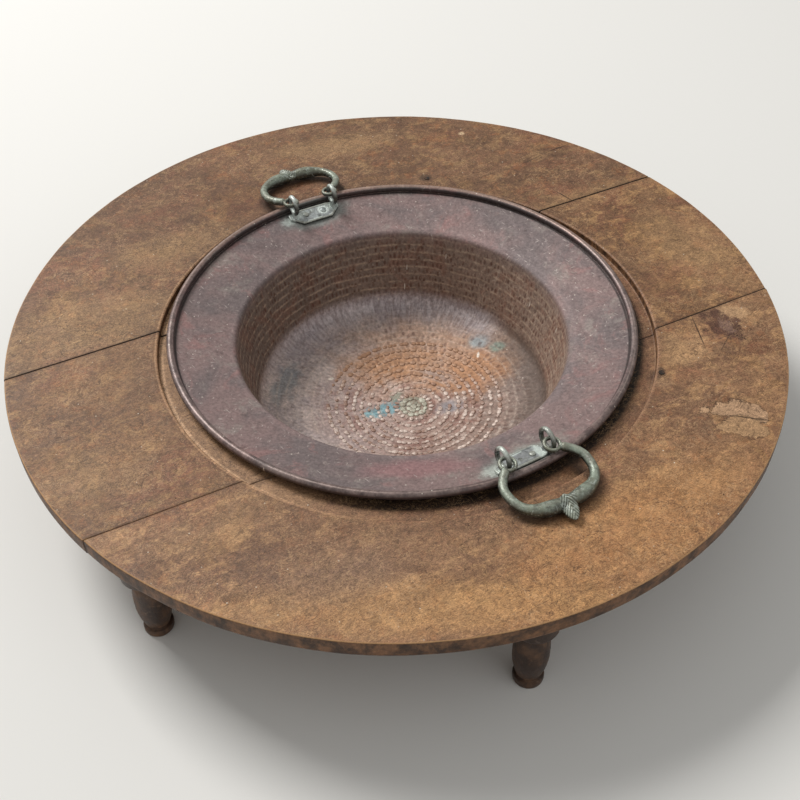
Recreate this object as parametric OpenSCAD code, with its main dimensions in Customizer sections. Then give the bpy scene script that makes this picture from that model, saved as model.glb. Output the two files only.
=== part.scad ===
// Charcoal brazier: a copper pan with two bail handles, hung by its flange in
// the well of a low round wooden stand on six turned feet.
// The stand rests on z = 0 and its round top is centred on the z axis.

/* [Wooden top] */
// Diameter of the round top
disc_d = 803; // [790:1:840]
// Thickness of the planks
plank_t = 19; // [17:0.5:26]
// Height of the top face over the floor
stand_h = 140; // [138:2:180]
// Direction of the grain, counted from +X
grain_angle = 26.3; // [10:0.1:40]
// Distance of the back seam from the middle, across the grain
seam_back = 90.9; // [85:0.1:105]
// Distance of the front seam from the middle, across the grain
seam_front = 142.3; // [130:0.1:146]
// Slip of the back plank along the grain
slip_back = 0.9; // [0:0.1:3]
// Slip of the two middle planks along the grain
slip_middle = 1.6; // [0:0.1:3]
// Slip of the front plank along the grain
slip_front = 2.1; // [0:0.1:3]
// Gap between neighbouring planks
seam_gap = 0.3; // [0.2:0.05:0.6]
// Worn-off arris along the round edge
edge_arris = 1; // [0.5:0.1:2]

/* [Well] */
// Radius of the well sunk in the top
well_r = 257.4; // [256:0.2:262]
// Depth of the well
well_depth = 8; // [7:0.2:9]
// Centre of the well, to the right of the middle
well_x = 12.6; // [9:0.1:14]
// Centre of the well, to the back of the middle
well_y = -17.3; // [-19:0.1:-13]
// Rounded lip of the well
well_lip = 2.5; // [1:0.1:4]

/* [Battens] */
// Distance of each batten from the foot beside it, along the grain
batten_clear = 17; // [12:1:22]
// Width of a batten
batten_w = 60; // [50:1:64]
// Thickness of a batten
batten_t = 20; // [16:0.5:26]
// Half length of a batten
batten_half = 185; // [180:1:188]
// Chamfer along the lower edges of a batten
batten_chamfer = 4; // [2:0.5:8]

/* [Nails] */
// Radius of a nail shank
nail_r = 1.6; // [1.2:0.1:2]
// Radius of a batten nail's head
nail_head_r = 4.5; // [3.5:0.1:6]
// Height of a batten nail's head
nail_head_h = 2.2; // [1.6:0.1:3]
// Depth that a batten nail reaches into the plank
nail_bite = 11; // [8:0.5:14]
// Distance of the nails from the middle line of their batten
nail_stagger = 14; // [8:1:18]
// Distance of the nails from a seam
nail_seam = 18; // [14:1:22]
// Distance of the end nails from the ends of their batten
nail_end = 13; // [10:1:16]
// Radius of a head that shows in the top
top_head_r = 3.6; // [3:0.1:5]
// Thickness of a head that shows in the top
top_head_h = 1.8; // [1.4:0.1:2.5]
// Length of a nail that shows in the top
top_nail_l = 14; // [10:0.5:16]
// Height by which such a head stands proud
top_nail_proud = 0.4; // [0.2:0.1:0.8]
// Distance of the nail in the back plank from the well
back_nail_out = 17.2; // [14:0.2:20]
// Distance of the nail at the right from the well
right_nail_out = 6; // [5:0.2:9]
// Clearance round a nail
nail_fit = 0.1; // [0.05:0.01:0.2]

/* [Feet] */
// Distance of the feet from the round edge
foot_inset = 35; // [30:0.5:45]
// Distance of the feet past the ends of the battens
foot_pass = 9.5; // [5:0.5:15]
// Radius of the round block under the planks
foot_block_r = 22.5; // [20:0.5:25]
// Height of that block
foot_block_h = 35; // [30:1:40]
// Height of the cove under the block
foot_cove_h = 14; // [11:0.5:18]
// Radius of the neck under the block
foot_neck_r = 14; // [12:0.5:15]
// Radius of the swelling of the foot
foot_bulb_r = 17; // [15:0.5:19]
// Depth of the widest place under the neck
foot_bulb_drop = 28; // [22:1:34]
// Radius of the ankle over the toe ring
foot_ankle_r = 11.8; // [10:0.2:12.4]
// Radius of the toe ring
foot_toe_r = 14.6; // [13:0.2:18]
// Height of the toe ring
foot_toe_h = 9; // [7:0.5:11]
// Radius of the tenon on top
tenon_r = 11; // [9:0.5:13]
// Length of the tenon
tenon_l = 12; // [8:0.5:14]
// Clearance round and over the tenon
tenon_fit = 0.15; // [0.1:0.01:0.3]

/* [Pan] */
// Thickness of the copper sheet
sheet = 1.2; // [0.8:0.1:1.6]
// Centre of the pan, to the right of the middle
pan_x = 7.8; // [6:0.1:11]
// Centre of the pan, to the back of the middle
pan_y = -8.1; // [-11:0.1:-6]
// Room between the rolled edge and the wall of the well
rim_play = 13; // [12:0.2:16]
// Width of the flange, from the bowl's mouth to the middle of the wire
flange_w = 64.4; // [58:0.2:68]
// Width of the flange that lies over the planks, to the middle of the wire
flange_lap = 25.4; // [22:0.2:30]
// Rounding of the mouth's edge
mouth_round = 6; // [4:0.5:9]
// Gap between the bowl and the floor
under_bowl = 9.9; // [6:0.1:20]
// Inward lean of the bowl wall
wall_lean = 12; // [8:0.5:16]
// Radius of the knuckle at the foot of the wall
knuckle_r = 15; // [11:0.5:20]
// Height of the knuckle's centre over the lowest floor
knuckle_rise = 36; // [32:1:42]
// Slope of the flange
flange_slope = 12.2; // [10:0.1:13]
// Radius of the iron wire in the edge
wire_r = 2.6; // [2:0.1:3]
// Angle round the wire at which the rolled sheet ends
bead_end = 215; // [200:1:225]
// Clearance between the wire and the sheet
wire_fit = 0.2; // [0.1:0.05:0.3]
// Gap between the flange and the arris of the hole
seat_gap = 0.3; // [0.2:0.05:0.5]

/* [Handle plates] */
// Direction of the front handle from the pan's centre
front_azimuth = -60.5; // [-75:0.5:-45]
// Direction of the back handle from the pan's centre
back_azimuth = 117; // [105:0.5:130]
// Distance of the lugs' holes from the middle of the wire
pivot_inset = 14.9; // [13.4:0.1:15.4]
// Height of the lugs' holes over the wooden top
pivot_h = 14; // [13.5:0.1:16]
// Half the distance between the two lugs
lug_half = 24.5; // [23:0.5:27]
// Radius of a lug's ring, to the middle of its bar
lug_ring_r = 10; // [9.5:0.1:10.4]
// Radius of a lug's bar
lug_bar_r = 2.3; // [1.8:0.1:2.4]
// Width of the block under a lug
lug_base_w = 11; // [8:0.5:14]
// Thickness of a plate
plate_t = 3; // [2:0.1:3.4]
// Half length of a plate, across the pan's radius
plate_half = 31; // [30:0.5:34]
// Half length of a plate's straight inner and outer edge
plate_flat = 18; // [12:0.5:22]
// Reach of a plate towards the bowl from the lugs' holes
plate_in = 14.5; // [10:0.5:18]
// Reach of a plate towards the wired edge from the lugs' holes
plate_out = 7.5; // [6:0.1:8]
// Gap between a plate and the flange
plate_gap = 0.2; // [0.1:0.05:0.3]

/* [Rivets] */
// Distance of the rivets from the middle of a plate
rivet_half = 11; // [8:0.5:14]
// Distance of the rivets from the line of the lugs, towards the bowl
rivet_in = 2; // [0:0.5:5]
// Radius of a rivet's shank
rivet_r = 1.8; // [1.4:0.1:2.2]
// Radius of a rivet's head
rivet_head_r = 3.6; // [3:0.1:4.5]
// Height of a rivet's head
rivet_head_h = 1.6; // [1.2:0.1:2.2]
// Height of the hammered tail
rivet_tail_h = 0.8; // [0.5:0.1:1]
// Clearance round a rivet
rivet_fit = 0.1; // [0.05:0.01:0.2]

/* [Bail handles] */
// Radius of a handle's eye, to the middle of its bar
eye_ring_r = 7.4; // [7.2:0.1:7.8]
// Radius of the bar round an eye
eye_bar_r = 1.85; // [1.5:0.05:2]
// Half width of a handle, to the middle of its bar
bail_half = 44; // [41:0.5:47]
// Distance from the hinge to the widest place
bail_waist = 34.5; // [32:0.5:38]
// Distance from the hinge to the cross bar
bail_reach = 66.5; // [63:0.5:70]
// Squareness of the handle's corners, 2 for an ellipse
bail_square = 2.6; // [2.2:0.1:3.2]
// Radius of the bar
bail_bar_r = 4.4; // [3.8:0.1:4.8]
// Radius of the two swellings
swell_r = 7.2; // [6:0.1:7.6]
// Distance of the swellings from the middle of the cross bar
swell_t = 18; // [16:0.5:20]
// Spread of a swelling towards the arms
swell_taper = 14; // [11:0.5:16]
// Spread of a swelling towards the leaf
swell_end = 6; // [5:0.5:7]
// Radius of the collars beside the leaf
collar_r = 5.9; // [5.5:0.1:6.2]
// Width of a collar
collar_w = 1.5; // [1:0.1:2]
// Distance of the inner collar from the middle
collar_t = 8; // [7:0.5:10]
// Distance between the two collars of a pair
collar_pitch = 2.6; // [2.2:0.1:4]
// Half width of the leaf
leaf_half = 8; // [7:0.5:10]
// Half thickness of the leaf
leaf_thick = 5; // [4:0.1:5.4]
// Reach of the leaf inwards from the cross bar
leaf_in = 8; // [7:0.5:10]
// Reach of the leaf's point outwards from the cross bar
leaf_out = 20; // [16:0.5:22]
// Sideways lean of the leaf's point
leaf_lean = 4; // [0:0.5:6]
// Ribs round the leaf
leaf_ribs = 12; // [8:2:16]
// Depth of the leaf's ribs, as a share of its thickness
rib_depth = 0.1; // [0.04:0.01:0.16]
// Gap between a handle that lies down and the wood
rest_gap = 0.3; // [0.2:0.05:0.5]

/* [Hidden] */
$fn = 96;

oak = [0.53, 0.42, 0.33];
dark_oak = [0.30, 0.22, 0.17];
iron = [0.22, 0.21, 0.20];
copper = [0.50, 0.37, 0.30];
bronze = [0.42, 0.46, 0.40];

plank_z = stand_h - plank_t;
batten_z = plank_z - batten_t;
well_z = stand_h - well_depth;

// Directions of the six feet from the middle: one at the front, one at the
// back, and at each batten one beside it and one past its end.
foot_ring_r = disc_d / 2 - foot_inset;
front_foot_at = -71;
back_foot_at = 110;
beside_turn = 25.2;
past_turn = asin((batten_half + foot_pass + foot_block_r) / foot_ring_r);
foot_angles = [
    front_foot_at, grain_angle - past_turn, grain_angle + beside_turn,
    back_foot_at, grain_angle - past_turn + 180, grain_angle + beside_turn + 180
];

// Places of the batten nails along a batten: two for each plank that it crosses.
nail_rows = [
    nail_end - batten_half, -seam_front - nail_seam, nail_seam - seam_front,
    seam_back - nail_seam, seam_back + nail_seam, batten_half - nail_end
];

// The two nails that show in the top: direction from the well's centre and
// distance from its wall.
top_nail_at = [[84.2, back_nail_out], [-16.3, right_nail_out]];

// Radii of the pan, all from the well that it hangs in.
bead_mid_r = wire_r + wire_fit + sheet / 2;
bead_ring_r = well_r - rim_play - bead_mid_r - sheet / 2;
hole_r = bead_ring_r - flange_lap;
mouth_r = bead_ring_r - flange_w;
pivot_r = bead_ring_r - pivot_inset;
batten_u = foot_ring_r * cos(beside_turn) - foot_block_r - batten_clear - batten_w / 2;

// Flange and wired edge. All heights of the pan follow from the arris of the
// hole, on which the underside of the flange lies.
sheet_half = sheet / 2;
seat_z = well_z + seat_gap + sheet_half / cos(flange_slope);
function flange_z(r) = seat_z + (r - hole_r) * tan(flange_slope);
bead_z = flange_z(bead_ring_r + bead_mid_r * sin(flange_slope)) + bead_mid_r * cos(flange_slope);
mouth_z = flange_z(mouth_r);
floor_z = under_bowl + sheet_half;

// Round of the mouth, tangent to the wall and to the flange.
mouth_turn = (90 + wall_lean + flange_slope) / 2;
mouth_reach = mouth_round / sin(mouth_turn);
mouth_aim = -90 - wall_lean + mouth_turn;
mouth_c = [mouth_r, mouth_z] + mouth_reach * [cos(mouth_aim), sin(mouth_aim)];

// Knuckle, tangent to the wall and inside the arc of the dished floor.
knuckle_z = floor_z + knuckle_rise;
wall_foot_z = knuckle_z - knuckle_r * sin(wall_lean);
wall_foot_r = mouth_r - (mouth_z - wall_foot_z) * tan(wall_lean);
knuckle_c = [wall_foot_r - knuckle_r * cos(wall_lean), knuckle_z];
dish_low = floor_z + knuckle_r;
dish_z = (pow(dish_low, 2) - pow(knuckle_z, 2) - pow(knuckle_c[0], 2)) / (2 * (dish_low - knuckle_z));
dish_r = dish_z - floor_z;
dish_edge = atan2(knuckle_z - dish_z, knuckle_c[0]);

// Hinge of the handles, and their tilt when the swellings lie on the wood.
pivot_z = stand_h + pivot_h;
swell_share = pow(swell_t / bail_half, bail_square);
swell_s = bail_waist + (bail_reach - bail_waist) * pow(1 - swell_share, 1 / bail_square);
rest_tilt = asin((pivot_h - swell_r - rest_gap) / swell_s);
bail_start = eye_ring_r * (1 + cos(45));
bail_start_t = lug_half + eye_ring_r * sin(45);

// Points along an arc with the unit vectors away from its centre; side = -1
// turns those vectors inwards.
function arc(c, r, from, to, steps, side = 1) = [
    for (i = [0:steps])
        let (a = from + (to - from) * i / steps, u = [cos(a), sin(a)])
        [c + r * u, side * u]
];
function offset_points(path, by) = [for (p = path) p[0] + by * p[1]];
function backwards(list) = [for (i = [len(list) - 1:-1:0]) list[i]];
function bell(x, spread) = exp(-pow(x / spread, 2));

// Middle line of the pan's sheet, from the floor's centre to the rolled end.
pan_path = concat(
    arc([0, dish_z], dish_r, -90, dish_edge, 14),
    arc(knuckle_c, knuckle_r, dish_edge, -wall_lean, 8),
    arc(mouth_c, mouth_round, 180 - wall_lean, 90 + flange_slope, 7, -1),
    arc([bead_ring_r, bead_z], bead_mid_r, flange_slope - 90, bead_end, 26)
);

// Half of a handle's middle line, as [distance from hinge, distance from middle].
function arm_point(x) = [
    bail_start + (bail_waist - bail_start) * x,
    bail_half - (bail_half - bail_start_t) * pow(1 - x, 2)
];
function cross_point(a) = [
    bail_waist + (bail_reach - bail_waist) * pow(sin(a), 2 / bail_square),
    bail_half * pow(cos(a), 2 / bail_square)
];
half_bail = concat(
    [for (i = [0:9]) arm_point(i / 9)],
    [for (i = [1:15]) cross_point(90 * i / 15)]
);
bail_line = concat(half_bail, [for (i = [len(half_bail) - 2:-1:0]) [half_bail[i][0], -half_bail[i][1]]]);

function bar_radius(p) =
    let (grown = min(1, norm([p[0] - bail_start, abs(p[1]) - bail_start_t]) / 9))
    let (bar = eye_bar_r + 0.2 + (bail_bar_r - eye_bar_r - 0.2) * sin(90 * grown))
    let (t = abs(p[1]), spread = t > swell_t ? swell_taper : swell_end)
    bar + (p[0] > bail_waist ? (swell_r - bail_bar_r) * bell(t - swell_t, spread) : 0);

function bar_heading(i) =
    let (a = bail_line[max(i - 1, 0)], b = bail_line[min(i + 1, len(bail_line) - 1)])
    (b - a) / norm(b - a);

bar_sides = 14;
bar_rings = [
    for (i = [0:len(bail_line) - 1])
        let (p = bail_line[i], h = bar_heading(i), r = bar_radius(p))
        [for (k = [0:bar_sides - 1])
            let (a = 360 * k / bar_sides)
            [p[0] - h[1] * r * cos(a), p[1] + h[0] * r * cos(a), r * sin(a)]]
];

leaf_sides = 4 * leaf_ribs;
leaf_length = leaf_in + leaf_out;
function leaf_width(x) = leaf_half * 2.134 * sqrt(x) * pow(1 - x, 0.6);
function leaf_height(x) = leaf_thick * 1.6 * pow(x, 0.35) * pow(1 - x, 0.55);
function leaf_rings(lean) = [
    for (i = [0:13])
        let (x = 0.02 + 0.96 * i / 13)
        [for (k = [0:leaf_sides - 1])
            let (a = 360 * k / leaf_sides, rib = 1 + rib_depth * cos(leaf_ribs * a))
            [bail_reach - leaf_in + leaf_length * x,
             leaf_width(x) * cos(a) * rib + lean * x,
             leaf_height(x) * sin(a) * rib]]
];

// Closed tube through a list of rings that each hold the same number of points.
module tube(rings) {
    sides = len(rings[0]);
    last = len(rings) - 1;
    points = [for (ring = rings) for (p = ring) p];
    sleeve = [
        for (i = [0:last - 1]) for (k = [0:sides - 1])
            let (a = i * sides + k, b = i * sides + (k + 1) % sides)
            for (f = [[a, a + sides, b], [b, a + sides, b + sides]]) f
    ];
    caps = [
        [for (k = [0:sides - 1]) k],
        [for (k = [sides - 1:-1:0]) last * sides + k]
    ];
    polyhedron(points = points, faces = concat(sleeve, caps));
}

// Places things given along the grain and across it.
module in_grain() {
    rotate([0, 0, grain_angle]) children();
}

// Places things round the pan's centre, turned to one handle.
module at_handle(azimuth) {
    translate([pan_x, pan_y, 0]) rotate([0, 0, azimuth]) children();
}

// Places things on the flange under the lugs' holes, square to the flange.
module on_flange(azimuth) {
    at_handle(azimuth)
        translate([pivot_r, 0, flange_z(pivot_r) + sheet_half / cos(flange_slope)])
            rotate([0, -flange_slope, 0]) children();
}

module round_board() {
    r = disc_d / 2;
    rotate_extrude() polygon([
        [0, plank_z], [r - edge_arris, plank_z], [r, plank_z + edge_arris],
        [r, stand_h - edge_arris], [r - edge_arris, stand_h], [0, stand_h]
    ]);
}

module well_cutter() {
    lip = arc([well_r + well_lip, well_depth - well_lip], well_lip, 180, 90, 6);
    translate([well_x, well_y, well_z])
        rotate_extrude()
            polygon(concat(
                [[0, 0], [well_r, 0]], offset_points(lip, 0),
                [[well_r + well_lip, well_depth + 1], [0, well_depth + 1]]
            ));
    translate([pan_x, pan_y, plank_z - 1]) cylinder(r = hole_r, h = plank_t);
}

module foot_place(i) {
    rotate([0, 0, foot_angles[i]]) translate([foot_ring_r, 0, 0]) children();
}

module mortices() {
    for (i = [0:len(foot_angles) - 1])
        foot_place(i)
            translate([0, 0, plank_z - 1])
                cylinder(r = tenon_r + tenon_fit, h = tenon_l + tenon_fit + 1);
}

module batten_nail_places(side) {
    in_grain()
        for (k = [0:len(nail_rows) - 1])
            translate([side * batten_u + (k % 2 == 0 ? 1 : -1) * nail_stagger, nail_rows[k], batten_z])
                children();
}

module batten_nail_bores(side) {
    batten_nail_places(side)
        translate([0, 0, -1])
            cylinder(r = nail_r + nail_fit, h = batten_t + nail_bite + nail_fit + 1);
}

module top_nail_places() {
    for (p = top_nail_at)
        translate([well_x, well_y, stand_h]) rotate([0, 0, p[0]]) translate([well_r + p[1], 0, 0]) children();
}

module top_nail_bores() {
    top_nail_places() {
        translate([0, 0, -top_nail_l - nail_fit]) cylinder(r = nail_r + nail_fit, h = top_nail_l);
        translate([0, 0, top_nail_proud - top_head_h - nail_fit])
            cylinder(r = top_head_r + nail_fit, h = top_head_h);
    }
}

// One plank: a strip of the round board, slipped along the grain.
module plank(slip, u_from, u_to, v_from, v_to) {
    color(oak)
        difference() {
            in_grain()
                intersection() {
                    translate([slip, 0, 0]) round_board();
                    translate([u_from, v_from, plank_z - 1])
                        cube([u_to - u_from, v_to - v_from, plank_t + 2]);
                }
            well_cutter();
            mortices();
            batten_nail_bores(-1);
            batten_nail_bores(1);
            top_nail_bores();
        }
}

module plank_back() {
    plank(slip_back, -disc_d, disc_d, seam_back + seam_gap / 2, disc_d);
}

module plank_left() {
    plank(slip_middle, -disc_d, 0, -seam_front + seam_gap / 2, seam_back - seam_gap / 2);
}

module plank_right() {
    plank(slip_middle, 0, disc_d, -seam_front + seam_gap / 2, seam_back - seam_gap / 2);
}

module plank_front() {
    plank(slip_front, -disc_d, disc_d, -disc_d, -seam_front - seam_gap / 2);
}

module batten(side) {
    w = batten_w / 2;
    color(dark_oak)
        difference() {
            in_grain()
                translate([side * batten_u, batten_half, batten_z])
                    rotate([90, 0, 0])
                        linear_extrude(height = 2 * batten_half)
                            polygon([
                                [-w + batten_chamfer, 0], [w - batten_chamfer, 0],
                                [w, batten_chamfer], [w, batten_t],
                                [-w, batten_t], [-w, batten_chamfer]
                            ]);
            batten_nail_bores(side);
        }
}

module batten_nails(side) {
    color(iron)
        batten_nail_places(side) {
            cylinder(r = nail_r, h = batten_t + nail_bite);
            rotate_extrude() polygon([
                [0, 0], [nail_head_r, 0], [nail_head_r * 0.8, -nail_head_h * 0.7], [0, -nail_head_h]
            ]);
        }
}

module top_nails() {
    color(iron)
        top_nail_places() {
            translate([0, 0, -top_nail_l]) cylinder(r = nail_r, h = top_nail_l - top_head_h / 2);
            translate([0, 0, top_nail_proud - top_head_h])
                cylinder(r1 = top_head_r, r2 = top_head_r * 0.8, h = top_head_h);
        }
}

// A turned foot, from the floor up: toe ring, ankle, bulb, neck, block, tenon.
module foot(i) {
    ankle_z = foot_toe_h + 2.5;
    block_z = plank_z - foot_block_h;
    neck_z = block_z - foot_cove_h - 2;
    bulb_z = neck_z - foot_bulb_drop;
    bulb = [for (k = [0:10])
        let (z = ankle_z + 1.5 + (neck_z - ankle_z - 1.5) * k / 10)
        let (low = foot_ankle_r + 0.8, high = foot_neck_r + 1)
        let (foot_end = z < bulb_z ? low : high)
        let (span = z < bulb_z ? bulb_z - ankle_z - 1.5 : neck_z - bulb_z)
        [foot_bulb_r - (foot_bulb_r - foot_end) * pow(abs(z - bulb_z) / span, 2), z]
    ];
    cove = [for (k = [0:6])
        let (a = 90 * k / 6)
        [foot_neck_r + (foot_block_r - 1.5 - foot_neck_r) * (1 - cos(a)),
         neck_z + 2 + foot_cove_h * sin(a)]
    ];
    color(dark_oak)
        foot_place(i)
            rotate_extrude()
                polygon(concat(
                    [[0, 0], [foot_toe_r - 2, 0], [foot_toe_r - 0.6, 0.8], [foot_toe_r, 2.2],
                     [foot_toe_r, foot_toe_h - 1.5], [foot_toe_r - 1, foot_toe_h], [foot_ankle_r, ankle_z]],
                    bulb, cove,
                    [[foot_block_r, block_z + 2], [foot_block_r, plank_z - 1], [foot_block_r - 1, plank_z],
                     [tenon_r, plank_z], [tenon_r, plank_z + tenon_l], [0, plank_z + tenon_l]]
                ));
}

module rivet_bores(azimuth) {
    on_flange(azimuth)
        for (side = [-1, 1])
            translate([-rivet_in, side * rivet_half, -4])
                cylinder(r = rivet_r + rivet_fit, h = plate_t + 8);
}

// Bowl, flange and rolled edge, raised from one sheet.
module pan() {
    color(copper)
        difference() {
            translate([pan_x, pan_y, 0])
                rotate_extrude($fn = 180)
                    polygon(concat(offset_points(pan_path, sheet_half), backwards(offset_points(pan_path, -sheet_half))));
            rivet_bores(front_azimuth);
            rivet_bores(back_azimuth);
        }
}

module rim_wire() {
    color(iron)
        translate([pan_x, pan_y, bead_z])
            rotate_extrude($fn = 180) translate([bead_ring_r, 0]) circle(r = wire_r, $fn = 24);
}

// Space that the flange takes under a plate, with the plate's gap.
module flange_space() {
    top = sheet_half / cos(flange_slope) + plate_gap;
    inner = pivot_r - 2 * plate_in;
    outer = bead_ring_r;
    translate([pan_x, pan_y, 0])
        rotate_extrude($fn = 180)
            polygon([
                [inner, flange_z(inner) - 20], [outer, flange_z(inner) - 20],
                [outer, flange_z(outer) + top], [inner, flange_z(inner) + top]
            ]);
}

module lug(azimuth, side) {
    ring_low = pivot_z - lug_ring_r;
    at_handle(azimuth)
        translate([pivot_r, side * lug_half, 0]) {
            translate([0, 0, pivot_z])
                rotate([90, 0, 0])
                    rotate_extrude() translate([lug_ring_r, 0]) circle(r = lug_bar_r, $fn = 24);
            translate([-lug_base_w / 2, -lug_bar_r - 0.5, flange_z(pivot_r)])
                cube([lug_base_w, 2 * lug_bar_r + 1, ring_low - flange_z(pivot_r)]);
        }
}

// Six-sided plate on the flange with its two upright eye lugs.
module handle_plate(azimuth) {
    color(bronze)
        difference() {
            union() {
                on_flange(azimuth)
                    translate([0, 0, -1])
                        linear_extrude(height = plate_t + 1)
                            polygon([
                                [-plate_in, -plate_flat], [-3, -plate_half], [plate_out - 4, -plate_half],
                                [plate_out, -plate_flat], [plate_out, plate_flat], [plate_out - 4, plate_half],
                                [-3, plate_half], [-plate_in, plate_flat]
                            ]);
                lug(azimuth, -1);
                lug(azimuth, 1);
            }
            flange_space();
            rivet_bores(azimuth);
        }
}

module handle_rivets(azimuth) {
    color(bronze)
        on_flange(azimuth)
            for (side = [-1, 1])
                translate([-rivet_in, side * rivet_half, 0])
                    rotate_extrude()
                        polygon([
                            [0, -sheet - rivet_tail_h - 0.1], [rivet_r + 0.6, -sheet - rivet_tail_h - 0.1],
                            [rivet_r + 1, -sheet - 0.1], [rivet_r, -sheet - 0.1], [rivet_r, plate_t + 0.1],
                            [rivet_head_r, plate_t + 0.1], [rivet_head_r * 0.85, plate_t + rivet_head_h * 0.6],
                            [rivet_head_r * 0.5, plate_t + rivet_head_h * 0.9], [0, plate_t + rivet_head_h]
                        ]);
}

// A bail handle as it lies on the wood: two eyes linked through the lugs, an
// open bar with two swellings, paired collars and a ribbed leaf in the middle
// whose point leans to one side.
module bail_handle(azimuth, lean) {
    color(bronze)
        at_handle(azimuth)
            translate([pivot_r, 0, pivot_z])
                rotate([0, rest_tilt, 0]) {
                    for (side = [-1, 1])
                        translate([eye_ring_r, side * lug_half, 0])
                            rotate_extrude() translate([eye_ring_r, 0]) circle(r = eye_bar_r, $fn = 24);
                    tube(bar_rings);
                    for (side = [-1, 1])
                        for (k = [0, 1])
                            translate([bail_reach, side * (collar_t + k * collar_pitch), 0])
                                rotate([90, 0, 0])
                                    cylinder(r = collar_r, h = collar_w, center = true);
                    tube(leaf_rings(lean));
                }
}

plank_back();
plank_left();
plank_right();
plank_front();
batten(-1);  // batten_left
batten(1);  // batten_right
batten_nails(-1);  // nails_left
batten_nails(1);  // nails_right
top_nails();
foot(0);  // foot_1
foot(1);  // foot_2
foot(2);  // foot_3
foot(3);  // foot_4
foot(4);  // foot_5
foot(5);  // foot_6
pan();
rim_wire();
handle_plate(front_azimuth);  // front_plate
handle_plate(back_azimuth);  // back_plate
handle_rivets(front_azimuth);  // front_rivets
handle_rivets(back_azimuth);  // back_rivets
bail_handle(front_azimuth, -leaf_lean);  // front_handle
bail_handle(back_azimuth, leaf_lean);  // back_handle
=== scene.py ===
"""The looks of a charcoal brazier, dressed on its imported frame.

A hammered copper pan hangs by its flange in the well of a low round stand of oak planks,
and two cast handles hang from eye lugs on its rim. All sizes are in metres and degrees,
in the frame's own axes: the stand rests on z = 0 with its round top centred on z.
"""

from __future__ import annotations

import logging
from dataclasses import dataclass
from enum import Enum
from math import asin, atan2, cos, degrees, exp, floor, hypot, pi, radians, sin, tan, tau

import bmesh
import bpy
import numpy as np
from mathutils import Matrix, Vector


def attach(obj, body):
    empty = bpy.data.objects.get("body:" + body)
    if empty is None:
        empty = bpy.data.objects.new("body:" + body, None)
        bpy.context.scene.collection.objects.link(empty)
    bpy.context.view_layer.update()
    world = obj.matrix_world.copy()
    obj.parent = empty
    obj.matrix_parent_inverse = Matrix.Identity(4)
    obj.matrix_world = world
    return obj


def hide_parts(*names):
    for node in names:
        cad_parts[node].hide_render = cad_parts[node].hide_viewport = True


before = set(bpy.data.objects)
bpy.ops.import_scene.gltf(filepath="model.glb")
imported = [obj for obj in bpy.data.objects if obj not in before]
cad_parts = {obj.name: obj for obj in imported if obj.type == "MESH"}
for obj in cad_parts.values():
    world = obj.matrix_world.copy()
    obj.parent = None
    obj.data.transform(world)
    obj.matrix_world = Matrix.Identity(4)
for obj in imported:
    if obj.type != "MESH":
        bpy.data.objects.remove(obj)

LOG = logging.getLogger("brazier")
Socket = bpy.types.NodeSocket
Material = bpy.types.Material
Piece = bpy.types.Object
Colour = tuple[int, int, int]
Flat = tuple[float, float]
Place = tuple[float, float, float]
Array = np.ndarray
Face = tuple[int, ...]
Shell = tuple[Array, list[Face]]
LinePoint = tuple[Array, Array, str]

IMAGE_SIZE = 800

# Driving sizes and places of the stand and the pan
TOP_Z = 0.14
PAN_CENTRE = (0.0078, -0.0081)
RINGS_CENTRE = (0.0203, -0.0081)
WELL_CENTRE = (0.0126, -0.0173)
WELL_R = 0.2574
GRAIN = 26.3
BACK_SEAM, FRONT_SEAM = 0.0909, -0.1423
FRONT_AZIMUTH, BACK_AZIMUTH = -60.5, 117.0

# Curve of a handle's bar: half width, straight reach, whole reach and squareness
BAIL_HALF = 0.044
BAIL_WAIST = 0.0345
BAIL_REACH = 0.0665
BAIL_SQUARE = 2.6

# A size so long that height doesn't count, the darkest shade, the reach of a merge
NO_HEIGHT = 1000.0
DEEPEST_SHADE = 0.12
MERGE = 1e-7


class Body(Enum):
    """Bodies of the frame that a piece can ride on."""

    STAND = "stand"
    PAN = "pan"
    FRONT_HANDLE = "front_handle"
    BACK_HANDLE = "back_handle"


class Slot(Enum):
    """Material slots of the record that a piece can have."""

    OAK = "oak_top"
    DARK_OAK = "dark_oak"
    COPPER = "hammered_copper"
    BRONZE = "aged_bronze"


def linear(seen: Colour) -> tuple[float, ...]:
    """Turns a colour as it is seen, 0 to 255, into the linear one that shaders take.

    Args:
        seen: Red, green and blue as seen.

    Returns:
        The linear colour with full alpha.
    """
    shares = (channel / 255 for channel in seen)
    return (*(s / 12.92 if s <= 0.04045 else ((s + 0.055) / 1.055) ** 2.4 for s in shares), 1.0)


# ---- Materials ----


class Graph:
    """Adds nodes to a node tree."""

    def __init__(self, tree: bpy.types.NodeTree) -> None:
        """Takes the tree that the nodes are for."""
        self.tree = tree

    def feed(self, socket: Socket, value: object) -> None:
        """Links a socket to another one, or sets its plain value.

        Args:
            socket: Input to fill.
            value: A socket or a plain value.
        """
        if isinstance(value, Socket):
            self.tree.links.new(value, socket)
        else:
            socket.default_value = value

    def node(self, kind: str, output: int | str, inputs: dict[int | str, object], **settings: str) -> Socket:
        """Adds a node.

        Args:
            kind: Its type.
            output: The output that is wanted.
            inputs: What its inputs are linked or set to.
            settings: Its other settings.

        Returns:
            The wanted output.
        """
        node = self.tree.nodes.new(kind)
        for name, value in settings.items():
            setattr(node, name, value)
        for name, value in inputs.items():
            self.feed(node.inputs[name], value)
        return node.outputs[output]


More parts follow.
